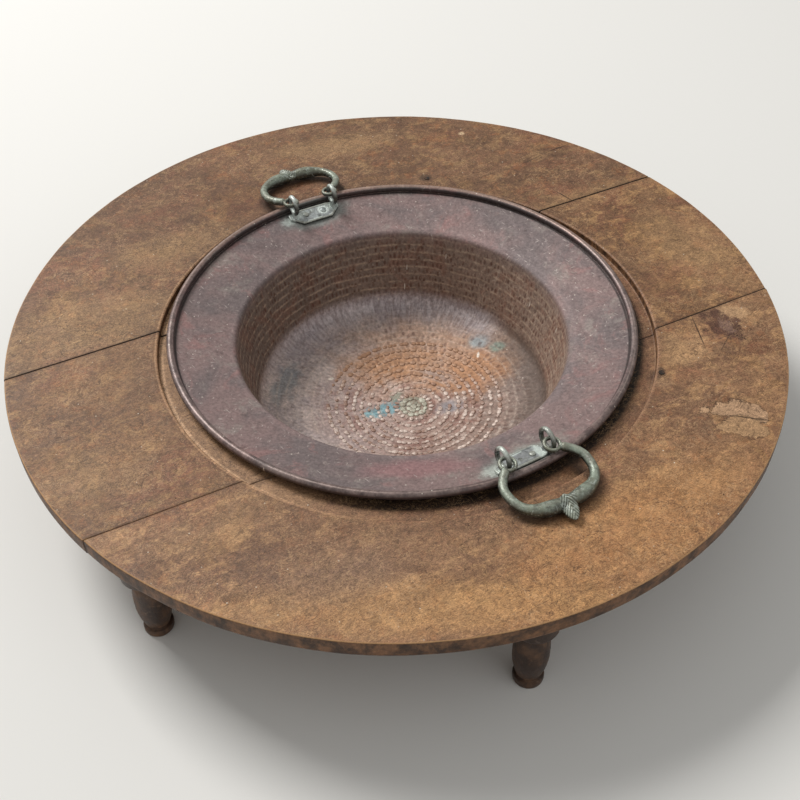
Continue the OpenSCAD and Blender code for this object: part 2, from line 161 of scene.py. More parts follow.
class Paint(Graph):
    """Builds one node material in the piece's own coordinates x, y and z; up is how far a face looks up."""

    def __init__(self, name: str) -> None:
        """Starts a material with one principled surface.

        Args:
            name: Name of the material.
        """
        self.material = bpy.data.materials.new(name)
        self.material.use_nodes = True
        super().__init__(self.material.node_tree)
        self.tree.nodes.clear()
        output = self.tree.nodes.new("ShaderNodeOutputMaterial")
        self.surface = self.tree.nodes.new("ShaderNodeBsdfPrincipled")
        self.feed(output.inputs["Surface"], self.surface.outputs["BSDF"])
        self.place = self.node("ShaderNodeTexCoord", "Object", {})
        self.x, self.y, self.z = (self.axis(self.place, axis) for axis in "XYZ")
        self.up = self.axis(self.node("ShaderNodeTexCoord", "Normal", {}), "Z")

    def math(self, operation: str, *values: object) -> Socket:
        """Works out an operation on its values."""
        return self.node("ShaderNodeMath", 0, dict(enumerate(values)), operation=operation)

    def times(self, first: object, second: object) -> Socket:
        """Multiplies two values."""
        return self.math("MULTIPLY", first, second)

    def scaled(self, value: object, gain: object, shift: object) -> Socket:
        """Multiplies a value by a gain and adds a shift."""
        return self.math("MULTIPLY_ADD", value, gain, shift)

    def away(self, value: object, middle: object) -> Socket:
        """Returns the distance of a value from a middle."""
        return self.math("ABSOLUTE", self.math("SUBTRACT", value, middle))

    def mix(self, share: object, low: object, high: object, mode: str = "MIX") -> Socket:
        """Mixes two colours, low where the share is 0 and high where it is 1."""
        low, high = (end if isinstance(end, Socket) else linear(end) for end in (low, high))
        return self.node("ShaderNodeMix", 2, {0: share, 6: low, 7: high}, data_type="RGBA", blend_type=mode)

    def noise(self, place: Socket, scale: float, detail: float = 4.0, roughness: float = 0.55,
              distortion: float = 0.0) -> Socket:
        """Adds a noise texture.

        Args:
            place: Coordinates.
            scale: Waves per metre.
            detail: Octaves.
            roughness: Strength of the finer octaves.
            distortion: Warp of the coordinates.

        Returns:
            The noise's value, around 0.5.
        """
        return self.node("ShaderNodeTexNoise", "Fac", {
            "Vector": place, "Scale": scale, "Detail": detail,
            "Roughness": roughness, "Distortion": distortion})

    def step(self, value: Socket, low: float, high: float) -> Socket:
        """Rises smoothly from 0 at low to 1 at high; low may be the larger one.

        Args:
            value: Value to test.
            low: Where the result is 0.
            high: Where the result is 1.

        Returns:
            The step's result.
        """
        at_first = float(low > high)
        return self.node("ShaderNodeMapRange", "Result", {
            "Value": value, "From Min": min(low, high), "From Max": max(low, high),
            "To Min": at_first, "To Max": 1.0 - at_first}, interpolation_type="SMOOTHSTEP")

    def cloud(self, low: float, high: float, place: Socket, *noise: float) -> Socket:
        """Masks clouds: a noise's rise from low to high."""
        return self.step(self.noise(place, *noise), low, high)

    def band(self, value: Socket, *steps: float) -> Socket:
        """Masks a band between two steps, each with its low and its high."""
        return self.times(self.step(value, *steps[:2]), self.step(value, *steps[2:]))

    def cells(self, place: Socket, scale: float = 1.0, uneven: float = 1.0,
              **settings: str) -> tuple[Socket, Socket]:
        """Adds a Voronoi texture.

        Args:
            place: Coordinates.
            scale: Cells per metre.
            uneven: Randomness of the cells.
            settings: Its other settings.

        Returns:
            The distance from a cell's middle, and the cell's random number.
        """
        inputs = {"Vector": place, "Scale": scale, "Randomness": uneven}
        distance = self.node("ShaderNodeTexVoronoi", "Distance", inputs, **settings)
        return distance, self.axis(distance.node.outputs["Color"], "X")

    def local(self, centre: Place, angle: float = 0.0, size: Place = (1.0, 1.0, 1.0)) -> Socket:
        """Gives coordinates about a place, turned and measured in the given sizes.

        Args:
            centre: Where the coordinates are 0.
            angle: Turn about z, in degrees.
            size: Length that counts as 1, along each turned axis.

        Returns:
            The coordinates.
        """
        return self.node("ShaderNodeMapping", "Vector", {
            "Vector": self.place, "Location": centre, "Rotation": (0.0, 0.0, radians(angle)),
            "Scale": size}, vector_type="TEXTURE")

    def length(self, vector: Socket) -> Socket:
        """Returns the length of a vector."""
        return self.node("ShaderNodeVectorMath", "Value", {0: vector}, operation="LENGTH")

    def axis(self, vector: Socket, name: str) -> Socket:
        """Returns one coordinate, X, Y or Z, of a vector."""
        return self.node("ShaderNodeSeparateXYZ", name, {0: vector})

    def slanted(self, gain: float) -> Socket:
        """Returns x with a share of y added."""
        return self.scaled(self.y, gain, self.x)

    def around(self, centre: Flat) -> tuple[Socket, Socket]:
        """Gives the direction about an upright axis, in radians, and the distance from it."""
        flat = self.local((*centre, 0.0), 0.0, (1.0, 1.0, NO_HEIGHT))
        return self.math("ARCTAN2", self.axis(flat, "Y"), self.axis(flat, "X")), self.length(flat)

    def unrolled(self, along: Socket, across: Socket) -> Socket:
        """Joins two coordinates into a flat place."""
        return self.node("ShaderNodeCombineXYZ", "Vector", {"X": along, "Y": across})

    def attribute(self, name: str) -> Socket:
        """Returns a value that the mesh carries at its points."""
        return self.node("ShaderNodeAttribute", "Fac", {}, attribute_name=name)

    def punches(self, turn: Socket, row: Socket, count: object) -> Socket:
        """Masks uneven punch marks that lie in rows round an axis.

        Args:
            turn: Direction about the axis, in radians.
            row: Place across the rows, one row for each 1.
            count: Marks in a full turn.

        Returns:
            A mask, up to 1 on a mark.
        """
        reach = 0.44
        shift = self.times(self.math("FLOOR", row), 0.5)
        column = self.scaled(self.times(turn, count), 0.5 / pi, shift)
        distance, chance = self.cells(self.unrolled(column, row), 1.0, 0.62, voronoi_dimensions="2D")
        return self.times(self.step(distance, reach, reach * 0.4), self.scaled(chance, 0.8, 0.2))

    def ridges(self, row: Socket, width: float) -> Socket:
        """Masks the broken ridges between rows, each as wide as a share of a row."""
        whole = self.step(self.away(self.math("FRACT", row), 0.5), 0.5 - width, 0.5)
        return self.times(whole, self.cloud(0.4, 0.6, self.place, 130.0, 4.0, 0.7))

    def dashes(self, angle: float, long: float, wide: float, chance: float) -> Socket:
        """Masks sparse strokes that lie in one direction, seen from above.

        Args:
            angle: Direction of the strokes, in degrees.
            long: Half length of a stroke.
            wide: Half width of a stroke.
            chance: Share of the places that hold a stroke.

        Returns:
            A mask, 1 on a stroke.
        """
        start, spread = (0.13, 0.27, 0.0), 3.6
        distance, number = self.cells(self.local(start, angle, (long * spread, wide * spread, 1.0)))
        return self.times(self.step(distance, 0.3, 0.18), self.step(number, 1.0 - chance, 1.01 - chance))

    def finish(self, base: object, roughness: object, metallic: float, height: Socket | None,
               depth: float, specular: float) -> Material:
        """Fills the surface.

        Args:
            base: Base colour.
            roughness: Roughness.
            metallic: Metallic share.
            height: Height of the fine relief, 0 to 1.
            depth: Full depth of that relief.
            specular: Specular level.

        Returns:
            The finished material.
        """
        for name, value in (("Base Color", base), ("Roughness", roughness), ("Metallic", metallic),
                            ("Specular IOR Level", specular)):
            self.feed(self.surface.inputs[name], value)
        if height is not None:
            inputs = {"Strength": 1.0, "Distance": depth, "Height": height}
            self.feed(self.surface.inputs["Normal"], self.node("ShaderNodeBump", "Normal", inputs))
        return self.material


class Coat:
    """A colour that layers are laid on, one over the other."""

    def __init__(self, paint: Paint, share: object, low: Colour, high: Colour) -> None:
        """Starts with a mix of two colours."""
        self.paint = paint
        self.tint = paint.mix(share, low, high)

    def cover(self, mask: object, tint: object) -> None:
        """Covers the colour with another one where a mask is 1."""
        self.tint = self.paint.mix(mask, self.tint, tint)

    def over(self, mask: object, share: object, tint: object) -> None:
        """Lays a tint over the colour, with a share of its full strength where a mask is 1."""
        self.cover(self.paint.times(mask, share), tint)

    def shade(self, gain: float, place: Socket, *noise: float) -> None:
        """Lightens and darkens the colour by a noise.

        Args:
            gain: Strength of the change.
            place: Coordinates of the noise.
            noise: Its scale and what else it takes.
        """
        tone = self.paint.scaled(self.paint.noise(place, *noise), gain, 1.0 - 0.5 * gain)
        tone = self.paint.math("MAXIMUM", tone, DEEPEST_SHADE)
        self.tint = self.paint.mix(1.0, self.tint, tone, "MULTIPLY")


@dataclass(frozen=True)
class Patch:
    """An oval patch of another colour on a surface, seen from above."""

    x: float
    y: float
    long: float
    wide: float
    angle: float
    tint: Colour
    strength: float
    soft: float = 0.5
    ragged: float = 0.7
    grain: float = 40.0

    def lay(self, paint: Paint, base: Coat) -> None:
        """Lays the patch, with its wandering edge, over a colour.

        Args:
            paint: Paint of the material.
            base: Colour under the patch.
        """
        reach = paint.length(paint.local((self.x, self.y, 0.0), self.angle, (self.long, self.wide, 10.0)))
        wander = paint.scaled(paint.noise(paint.place, self.grain, 4.0, 0.6), self.ragged, -0.5 * self.ragged)
        mask = paint.step(paint.math("ADD", reach, wander), 1.0 + self.soft, 1.0 - self.soft)
        base.over(mask, self.strength, self.tint)


@dataclass(frozen=True)
class PaintedHandleShadow:
    """Painted shadow of a handle on the wood, a dark band along the line of its bar."""

    x: float
    y: float
    azimuth: float

    def lay(self, paint: Paint, base: Coat) -> None:
        """Lays the painted shadow along the line of the handle's bar.

        Args:
            paint: Paint of the material.
            base: Colour under the painted shadow.
        """
        place = paint.local((self.x, self.y, 0.0), self.azimuth)
        out = paint.axis(place, "X")
        ahead = paint.math("DIVIDE", paint.math("MAXIMUM", paint.math("SUBTRACT", out, BAIL_WAIST), 0.0),
                           BAIL_REACH - BAIL_WAIST)
        aside = paint.math("DIVIDE", paint.math("ABSOLUTE", paint.axis(place, "Y")), BAIL_HALF)
        power = paint.math("ADD", *(paint.math("POWER", side, BAIL_SQUARE) for side in (ahead, aside)))
        away = paint.away(paint.math("POWER", power, 1 / BAIL_SQUARE), 1.0)
        mask = paint.times(paint.step(away, 0.26, 0.06), paint.step(out, 0.002, 0.014))
        # Painted shadow of the handle on the wood.
        base.over(mask, 0.62, (34, 23, 17))


class OakPaint(Paint):
    """Paint of the oak, with its coordinates along the grain, plain, long and drawn out to fibres."""

    def __init__(self, name: str, shift: float) -> None:
        """Starts the material, with the plank's pattern shifted along the stand."""
        super().__init__(name)
        self.grain, self.long, self.fibre = (self.local((shift, 0.0, 0.0), GRAIN, (1.0, drawn, 1.0))
                                             for drawn in (1.0, 0.6, 0.2))


@dataclass(frozen=True)
class OakTop:
    """Waxed and worn oak: patchy brown, with fine flecks along the grain."""

    name: str
    shift: float
    warm: Colour
    light: Colour
    dark: Colour
    patches: tuple[Patch, ...] = ()
    handle_shadows: tuple[PaintedHandleShadow, ...] = ()

    def build(self) -> Material:
        """Builds the material.

        Returns:
            The finished material.
        """
        paint = OakPaint(self.name, self.shift)
        base = self.clouds(paint)
        for patch in self.patches:
            patch.lay(paint, base)
        self.well_stain_and_painted_shading(paint, base)
        self.figured(paint, base)
        for shadow in self.handle_shadows:
            shadow.lay(paint, base)
        pins = paint.step(paint.cells(paint.grain, 30.0)[0], 0.03, 0.017)
        base.over(pins, 0.85, (50, 35, 26))
        self.worn_and_highlit_edges(paint, base)
        self.seam_lines(paint, base)
        figure = paint.noise(paint.fibre, 190.0, 3.0, 0.62, 0.4)
        height = paint.scaled(figure, 0.7, paint.times(paint.noise(paint.grain, 60.0), 0.5))
        height = paint.scaled(pins, -0.8, height)
        sheen = paint.scaled(paint.noise(paint.grain, 30.0), 0.25, 0.4)
        return paint.finish(base.tint, sheen, 0.0, height, 0.0006, 0.35)

    def clouds(self, paint: OakPaint) -> Coat:
        """Starts with the broad brown and golden clouds and the smoky stains.

        Args:
            paint: Paint of the material.

        Returns:
            The colour so far.
        """
        base = Coat(paint, paint.cloud(0.38, 0.62, paint.long, 6.5, 4.0, 0.6, 0.4), self.dark, self.warm)
        blush = paint.cloud(0.5, 0.62, paint.grain, 13.0, 5.0, 0.66, 0.8)
        base.over(blush, 0.42, (142, 92, 70))
        amber = paint.cloud(0.46, 0.36, paint.grain, 16.0, 5.0, 0.68, 0.8)
        base.over(amber, 0.34, (172, 132, 84))
        gold = paint.cloud(0.49, 0.62, paint.long, 36.0, 6.0, 0.76, 0.5)
        base.over(gold, 0.75, self.light)
        smoke = paint.cloud(0.51, 0.62, paint.grain, 46.0, 6.0, 0.74, 0.9)
        base.over(smoke, 0.45, (98, 68, 50))
        rust = paint.cloud(0.53, 0.65, paint.grain, 62.0, 5.0, 0.74, 0.4)
        base.over(rust, 0.4, (150, 96, 60))
        return base

    def well_stain_and_painted_shading(self, paint: OakPaint, base: Coat) -> None:
        """Darkens the floor of the well and a band round it, paints light on the well's wall at the left, and
        paints the pan's shadow under its rolled edge.

        Args:
            paint: Paint of the material.
            base: Colour so far.
        """
        near = paint.around(WELL_CENTRE)[1]
        stray = paint.scaled(paint.noise(paint.grain, 18.0), 0.05, -0.025)
        halo = paint.step(paint.math("ADD", near, stray), WELL_R + 0.034, WELL_R - 0.004)
        base.over(halo, 0.4, (104, 76, 58))
        floor = paint.step(near, WELL_R + 0.0012, WELL_R - 0.001)
        behind = paint.scaled(paint.step(paint.y, -0.12, 0.08), 0.35, 0.15)
        base.over(floor, behind, (140, 102, 82))
        # Painted light: the well's wall and the floor beside it are lightened at the left, against the shade
        # that falls in the gap there.
        lit = paint.step(paint.slanted(0.35), -0.09, -0.2)
        wall = paint.step(near, WELL_R + 0.004, WELL_R + 0.001)
        base.over(paint.times(wall, lit), 0.7, (160, 126, 96))
        shaded = paint.times(wall, paint.step(near, WELL_R - 0.006, WELL_R - 0.0035))
        base.over(paint.times(shaded, lit), 0.85, (214, 174, 138))
        # Painted light: the well's wall and lip are lightened all round, against their shade.
        lip = paint.times(wall, paint.math("SUBTRACT", 1.0, floor))
        base.over(lip, 0.7, (150, 112, 86))
        # Painted shadow: a near black ring under the pan's rolled edge, except at the left.
        painted_pan_shadow = paint.band(paint.around(PAN_CENTRE)[1], 0.2525, 0.2475, 0.228, 0.238)
        base.over(paint.times(painted_pan_shadow, paint.math("SUBTRACT", 1.0, lit)), 0.95, (20, 14, 11))

    def figured(self, paint: OakPaint, base: Coat) -> None:
        """Adds the burr's curls, the fine fibres and painted glints for the sparkle of the polish.

        Args:
            paint: Paint of the material.
            base: Colour so far.
        """
        base.shade(1.9, paint.grain, 105.0, 5.0, 0.75, 1.2)
        base.shade(2.2, paint.long, 250.0, 3.0, 0.62, 2.4)
        base.shade(0.6, paint.fibre, 190.0, 3.0, 0.62, 0.4)
        base.shade(1.3, paint.fibre, 420.0, 2.0, 0.6, 0.8)
        for scale, level, width, tint, share in (
                (46.0, 0.5, 0.014, (62, 40, 29), 0.62),
                (88.0, 0.52, 0.018, (74, 48, 34), 0.5),
                (64.0, 0.46, 0.013, (204, 168, 130), 0.45),
                (120.0, 0.48, 0.018, (196, 158, 116), 0.35)):
            curl = paint.away(paint.noise(paint.grain, scale, 4.0, 0.66, 1.2), level)
            place = paint.cloud(0.44, 0.56, paint.grain, scale / 4.0, 3.0)
            base.over(paint.times(paint.step(curl, width, width / 4), place), share, tint)
        pores = paint.dashes(GRAIN, 0.0026, 0.0005, 0.2)
        base.over(pores, 0.4, (84, 58, 40))
        # Painted highlight: small golden glints on the polish.
        glint = paint.cloud(0.58, 0.68, paint.long, 330.0, 3.0, 0.66, 2.0)
        base.over(glint, 0.38, (208, 168, 118))
        dust = paint.dashes(0.0, 0.0007, 0.0007, 0.01)
        base.over(dust, 0.85, (232, 222, 204))

    def seam_lines(self, paint: OakPaint, base: Coat) -> None:
        """Darkens the edges of the planks along the seams.

        Args:
            paint: Paint of the material.
            base: Colour so far.
        """
        across = paint.axis(paint.local((0.0, 0.0, 0.0), GRAIN), "Y")
        strong, weak = 0.8, 0.24
        paler_left = paint.scaled(paint.step(paint.x, -0.05, 0.1), strong - weak, weak)
        for seam, ink in ((BACK_SEAM, strong), (FRONT_SEAM, paler_left)):
            gap = paint.away(across, seam)
            base.over(paint.step(gap, 0.005, 0.001), 0.28, (76, 52, 38))
            base.over(paint.step(gap, 0.0013, 0.0006), ink, (30, 20, 15))

    def worn_and_highlit_edges(self, paint: OakPaint, base: Coat) -> None:
        """Gives the round edge, its rubbed arris and the underside their own colours; the arris's light band
        is wear and a painted highlight.

        Args:
            paint: Paint of the material.
            base: Colour so far.
        """
        streaks = paint.cloud(0.35, 0.65, paint.long, 60.0, 5.0, 0.7)
        edge = Coat(paint, streaks, (58, 39, 26), (122, 86, 58))
        edge.shade(1.6, paint.long, 260.0, 3.0, 0.7)
        base.cover(paint.step(paint.up, 0.62, 0.3), edge.tint)
        # Wear and painted highlight: a light golden band along the top arris of the round edge.
        arris_wear_and_highlight = paint.band(paint.up, 0.45, 0.72, 0.995, 0.93)
        outer = paint.step(paint.around((0.0, 0.0))[1], 0.392, 0.397)
        base.over(paint.times(arris_wear_and_highlight, outer), 0.7, (190, 148, 104))
        sawn = Coat(paint, paint.cloud(0.28, 0.72, paint.long, 30.0, 5.0, 0.7, 0.6), (96, 72, 54),
                    (136, 106, 80))
        sawn.shade(1.3, paint.fibre, 60.0, 4.0, 0.7)
        sawn.shade(1.6, paint.fibre, 320.0, 3.0, 0.65)
        soot = paint.cloud(0.5, 0.66, paint.place, 9.0, 5.0, 0.65)
        sawn.over(soot, 0.5, (52, 40, 32))
        base.cover(paint.step(paint.up, -0.4, -0.8), sawn.tint)


@dataclass(frozen=True)
class DarkOak:
    """Dark stained wood of the feet and battens, dusty where it is rubbed."""

    name: str

    def build(self) -> Material:
        """Builds the material.

        Returns:
            The finished material.
        """
        paint = Paint(self.name)
        upright = paint.local((0.0, 0.0, 0.0), 20.0, (0.3, 0.3, 1.6))
        wear = paint.cloud(0.42, 0.72, paint.place, 45.0, 5.0, 0.65)
        base = Coat(paint, wear, (54, 36, 26), (112, 82, 60))
        streak = paint.cloud(0.45, 0.7, upright, 90.0, 4.0, 0.7)
        base.over(streak, 0.45, (36, 26, 21))
        dust = paint.cloud(0.58, 0.74, paint.place, 180.0, 4.0, 0.7)
        base.over(dust, 0.3, (140, 122, 106))
        height = paint.noise(upright, 160.0, 4.0, 0.7)
        return paint.finish(base.tint, paint.scaled(wear, 0.2, 0.42), 0.0, height, 0.0006, 0.4)


@dataclass(frozen=True)
class HammeredCopper:
    """Copper of the pan: violet-brown flange, punched brown wall, orange and grey floor."""

    name: str
    mouth_r: float
    rim_r: float
    floor_z: float
    row_pitch: float
    ring_pitch: float = 0.0096

    def build(self) -> Material:
        """Builds the material.

        Returns:
            The finished material.
        """
        paint = Paint(self.name)
        turn, radius = paint.around(PAN_CENTRE)
        film = paint.cloud(0.52, 0.68, paint.place, 28.0, 6.0, 0.72, 0.5)
        base = self.inside(paint, turn)
        is_flange = paint.step(radius, self.mouth_r - 0.004, self.mouth_r + 0.001)
        base.cover(is_flange, self.flange(paint, radius, film).tint)

        mark = paint.attribute("mark")
        base.over(mark, 0.25, (66, 44, 36))
        mottle = (300.0, 3.0, 0.72)
        base.shade(1.35, paint.place, *mottle)
        specks = paint.dashes(0.0, 0.0008, 0.0008, 0.02)
        base.over(specks, 0.8, (226, 216, 204))

        under = paint.step(paint.up, -0.1, -0.35)
        sooty = paint.mix(paint.noise(paint.place, 30.0, 5.0, 0.65), (58, 48, 43), (96, 76, 64))
        base.over(under, paint.step(paint.z, 0.132, 0.12), sooty)

        hammer = paint.cells(paint.place, 95.0, feature="SMOOTH_F1")[0]
        height = paint.scaled(hammer, 0.5, paint.times(paint.noise(paint.place, *mottle), 0.3))
        matt = paint.scaled(paint.step(radius, self.mouth_r + 0.01, self.mouth_r + 0.002), 0.28, 0.4)
        rough = paint.scaled(film, 0.12, paint.scaled(mark, 0.1, matt))
        return paint.finish(base.tint, rough, 0.3, height, 0.0007, 0.5)

    def flange(self, paint: Paint, radius: Socket, film: Socket) -> Coat:
        """Colours the flange: violet grey with pink clouds, grey films and short scratches.

        Args:
            paint: Paint of the material.
            radius: Distance from the pan's axis.
            film: Mask of the grey films.

        Returns:
            The flange's colour.
        """
        place = paint.place
        base = Coat(paint, paint.cloud(0.4, 0.6, place, 9.0, 5.0, 0.62, 0.8), (122, 110, 110),
                    (142, 121, 119))
        pink = paint.cloud(0.52, 0.66, place, 17.0, 6.0, 0.68, 1.2)
        base.over(pink, 0.6, (160, 121, 118))
        base.over(film, 0.6, (146, 138, 132))
        soot = paint.cloud(0.56, 0.7, place, 50.0, 5.0, 0.72)
        base.over(soot, 0.5, (94, 80, 79))
        chalk = paint.cloud(0.57, 0.66, place, 85.0, 6.0, 0.78, 1.5)
        base.over(chalk, 0.4, (186, 172, 164))
        for patch in FLANGE_PATCHES:
            patch.lay(paint, base)
        for angle, long in ((18.0, 0.0026), (74.0, 0.0018), (131.0, 0.0034)):
            base.over(paint.dashes(angle, long, 0.00045, 0.06), 0.55, (208, 196, 190))
        edge = paint.step(radius, self.rim_r - 0.0072, self.rim_r - 0.0056)
        base.over(edge, 0.75, self.bead(paint, radius).tint)
        # Painted shade: a near black line in the crease between the rolled edge and the flange.
        painted_groove_shade = paint.band(radius, self.rim_r - 0.0102, self.rim_r - 0.0088,
                            self.rim_r - 0.0066, self.rim_r - 0.0078)
        base.over(painted_groove_shade, 0.8, (38, 31, 30))
        return base

    def bead(self, paint: Paint, radius: Socket) -> Coat:
        """Colours the rolled edge: worn, painted lighter at the back as painted light, darkened on its sides
        as painted shade, with a painted highlight along its crest.

        Args:
            paint: Paint of the material.
            radius: Distance from the pan's axis.

        Returns:
            The edge's colour.
        """
        worn = Coat(paint, paint.cloud(0.4, 0.6, paint.place, 60.0, 5.0, 0.72), (84, 72, 70),
                    (132, 115, 110))
        # Painted light: the edge is lighter towards the back.
        worn.over(paint.step(paint.y, 0.0, 0.2), 0.6, (182, 150, 132))
        # Painted shade: the sides of the edge, which look less upward, are darkened nearly to black.
        worn.over(paint.step(paint.up, 0.6, 0.0), 0.92, (36, 29, 28))
        # Painted highlight: a pale line along the edge's crest.
        crest = paint.step(paint.away(radius, self.rim_r - 0.0034), 0.001, 0.0002)
        worn.over(paint.times(crest, paint.cloud(0.4, 0.6, paint.place, 24.0)), 0.6, (172, 154, 146))
        return worn

    def inside(self, paint: Paint, turn: Socket) -> Coat:
        """Colours the bowl: brown wall, violet-grey foot, copper floor with its patches, with painted shade
        on the foot at the right and front and a painted reflection on it at the far side.

        Args:
            paint: Paint of the material.
            turn: Direction about the pan's axis.

        Returns:
            The bowl's colour.
        """
        base = self.wall(paint, turn)
        base.cover(paint.step(paint.z, self.floor_z + 0.04, self.floor_z + 0.024), self.floor(paint).tint)
        foot = paint.band(paint.z, self.floor_z + 0.044, self.floor_z + 0.03,
                          self.floor_z + 0.014, self.floor_z + 0.024)
        # Painted shade: the foot band is darkened towards the right and front, where the light falls on it.
        sunny = paint.step(paint.slanted(-0.55), 0.0, 0.13)
        base.over(foot, paint.times(sunny, 0.75), (92, 78, 71))
        # Painted reflection: pale streaks on the foot band at the far side.
        painted_reflection_far = paint.times(paint.step(paint.y, 0.0, 0.1), paint.step(sunny, 0.8, 0.1))
        unrolled = paint.unrolled(paint.times(turn, 0.17), paint.times(paint.z, 0.5))
        streaks = paint.cloud(0.42, 0.6, unrolled, 210.0, 4.0, 0.72)
        pale = paint.mix(streaks, (160, 149, 152), (204, 196, 200))
        base.over(foot, paint.times(painted_reflection_far, 0.75), pale)
        return base

    def wall(self, paint: Paint, turn: Socket) -> Coat:
        """Colours the wall: rows of reddish dents between broken pale ridges, smeared at the right, painted
        darker on the left and lighter on the right as painted light and shade.

        Args:
            paint: Paint of the material.
            turn: Direction about the pan's axis.

        Returns:
            The wall's colour.
        """
        place = paint.place
        # Painted light and shade: the wall runs from darker on the left to lighter on the right.
        painted_light_right = paint.step(paint.scaled(paint.noise(place, 12.0), 0.12, paint.slanted(-0.35)), -0.12, 0.2)
        wall = Coat(paint, painted_light_right, (128, 112, 102), (156, 134, 120))
        rust = paint.cloud(0.48, 0.62, place, 26.0, 5.0, 0.72, 0.8)
        wall.over(rust, 0.4, (144, 98, 78))
        soot = paint.cloud(0.54, 0.68, place, 34.0, 5.0, 0.7, 0.6)
        wall.over(soot, 0.4, (92, 80, 72))
        stray = paint.scaled(paint.noise(place, 22.0, 3.0), 0.9, -0.45)
        row = paint.math("ADD", paint.times(paint.z, 1 / self.row_pitch), stray)
        wall.over(paint.punches(turn, row, 220.0), 0.7, (88, 50, 38))
        wall.over(paint.ridges(row, 0.24), 0.6, (200, 178, 156))
        flow = paint.unrolled(paint.times(turn, 0.17), paint.times(paint.z, 0.4))
        smear = paint.cloud(0.54, 0.64, flow, 90.0, 6.0, 0.76, 2.2)
        # The smears are laid more strongly where the wall is painted lighter.
        wall.over(smear, paint.scaled(painted_light_right, 0.42, 0.14), (196, 178, 162))
        return wall

    def floor(self, paint: Paint) -> Coat:
        """Colours the floor: grey brown at the foot, orange in the middle, rows of dents all over, painted
        pale as painted light where the wall shades it and darker on the right as painted shade.

        Args:
            paint: Paint of the material.

        Returns:
            The floor's colour.
        """
        place = paint.place
        turn, rings = paint.around(RINGS_CENTRE)
        stray = paint.scaled(paint.noise(place, 16.0, 5.0, 0.65, 0.5), 0.11, -0.055)
        core = paint.step(paint.math("ADD", rings, stray), 0.13, 0.07)
        # Painted light and shade: a pale base lifts the left and far floor, which the wall shades, and a
        # darker tint covers the right, where the light falls.
        floor = Coat(paint, paint.cloud(0.4, 0.6, place, 20.0, 5.0, 0.68), (178, 165, 165), (204, 188, 182))
        right = paint.step(paint.slanted(-0.5), -0.02, 0.12)
        floor.over(right, 0.8, (126, 108, 97))
        floor.over(core, 0.5, (176, 146, 132))
        flush = paint.cloud(0.5, 0.63, place, 38.0, 5.0, 0.74, 0.8)
        floor.over(paint.times(flush, core), 0.6, (140, 94, 84))
        frost = paint.cloud(0.54, 0.64, place, 75.0, 6.0, 0.78, 1.0)
        floor.over(frost, 0.45, (200, 188, 180))
        for patch in FLOOR_PATCHES:
            patch.lay(paint, floor)
        floor.shade(1.6, place, 130.0, 5.0, 0.78, 1.2)
        wander = paint.scaled(paint.noise(place, 24.0, 3.0), 0.5, -0.25)
        row = paint.math("ADD", paint.times(rings, 1 / self.ring_pitch), wander)
        dents = paint.punches(turn, row, paint.times(paint.math("FLOOR", row), 11.0))
        floor.over(dents, paint.scaled(paint.step(paint.x, -0.07, 0.0), 0.26, 0.26), (92, 58, 50))
        floor.over(paint.ridges(row, 0.22), 0.42, (212, 194, 180))
        return floor


@dataclass(frozen=True)
class PunchedDot:
    """Bright rubbed tops of the punched dots on the pan's floor."""

    name: str
    high: Colour = (224, 208, 198)
    low: Colour = (158, 128, 114)

    def build(self) -> Material:
        """Builds the material.

        Returns:
            The finished material.
        """
        paint = Paint(self.name)
        base = Coat(paint, paint.cloud(0.4, 0.6, paint.place, 60.0, 4.0, 0.72), self.low, self.high)
        base.over(paint.step(paint.y, 0.0, 0.05), 0.85, (182, 140, 108))
        fine = paint.noise(paint.place, 420.0, 3.0, 0.7)
        base.over(paint.step(fine, 0.5, 0.62), 0.55, (132, 98, 84))
        return paint.finish(base.tint, 0.56, 0.12, fine, 0.0002, 0.4)


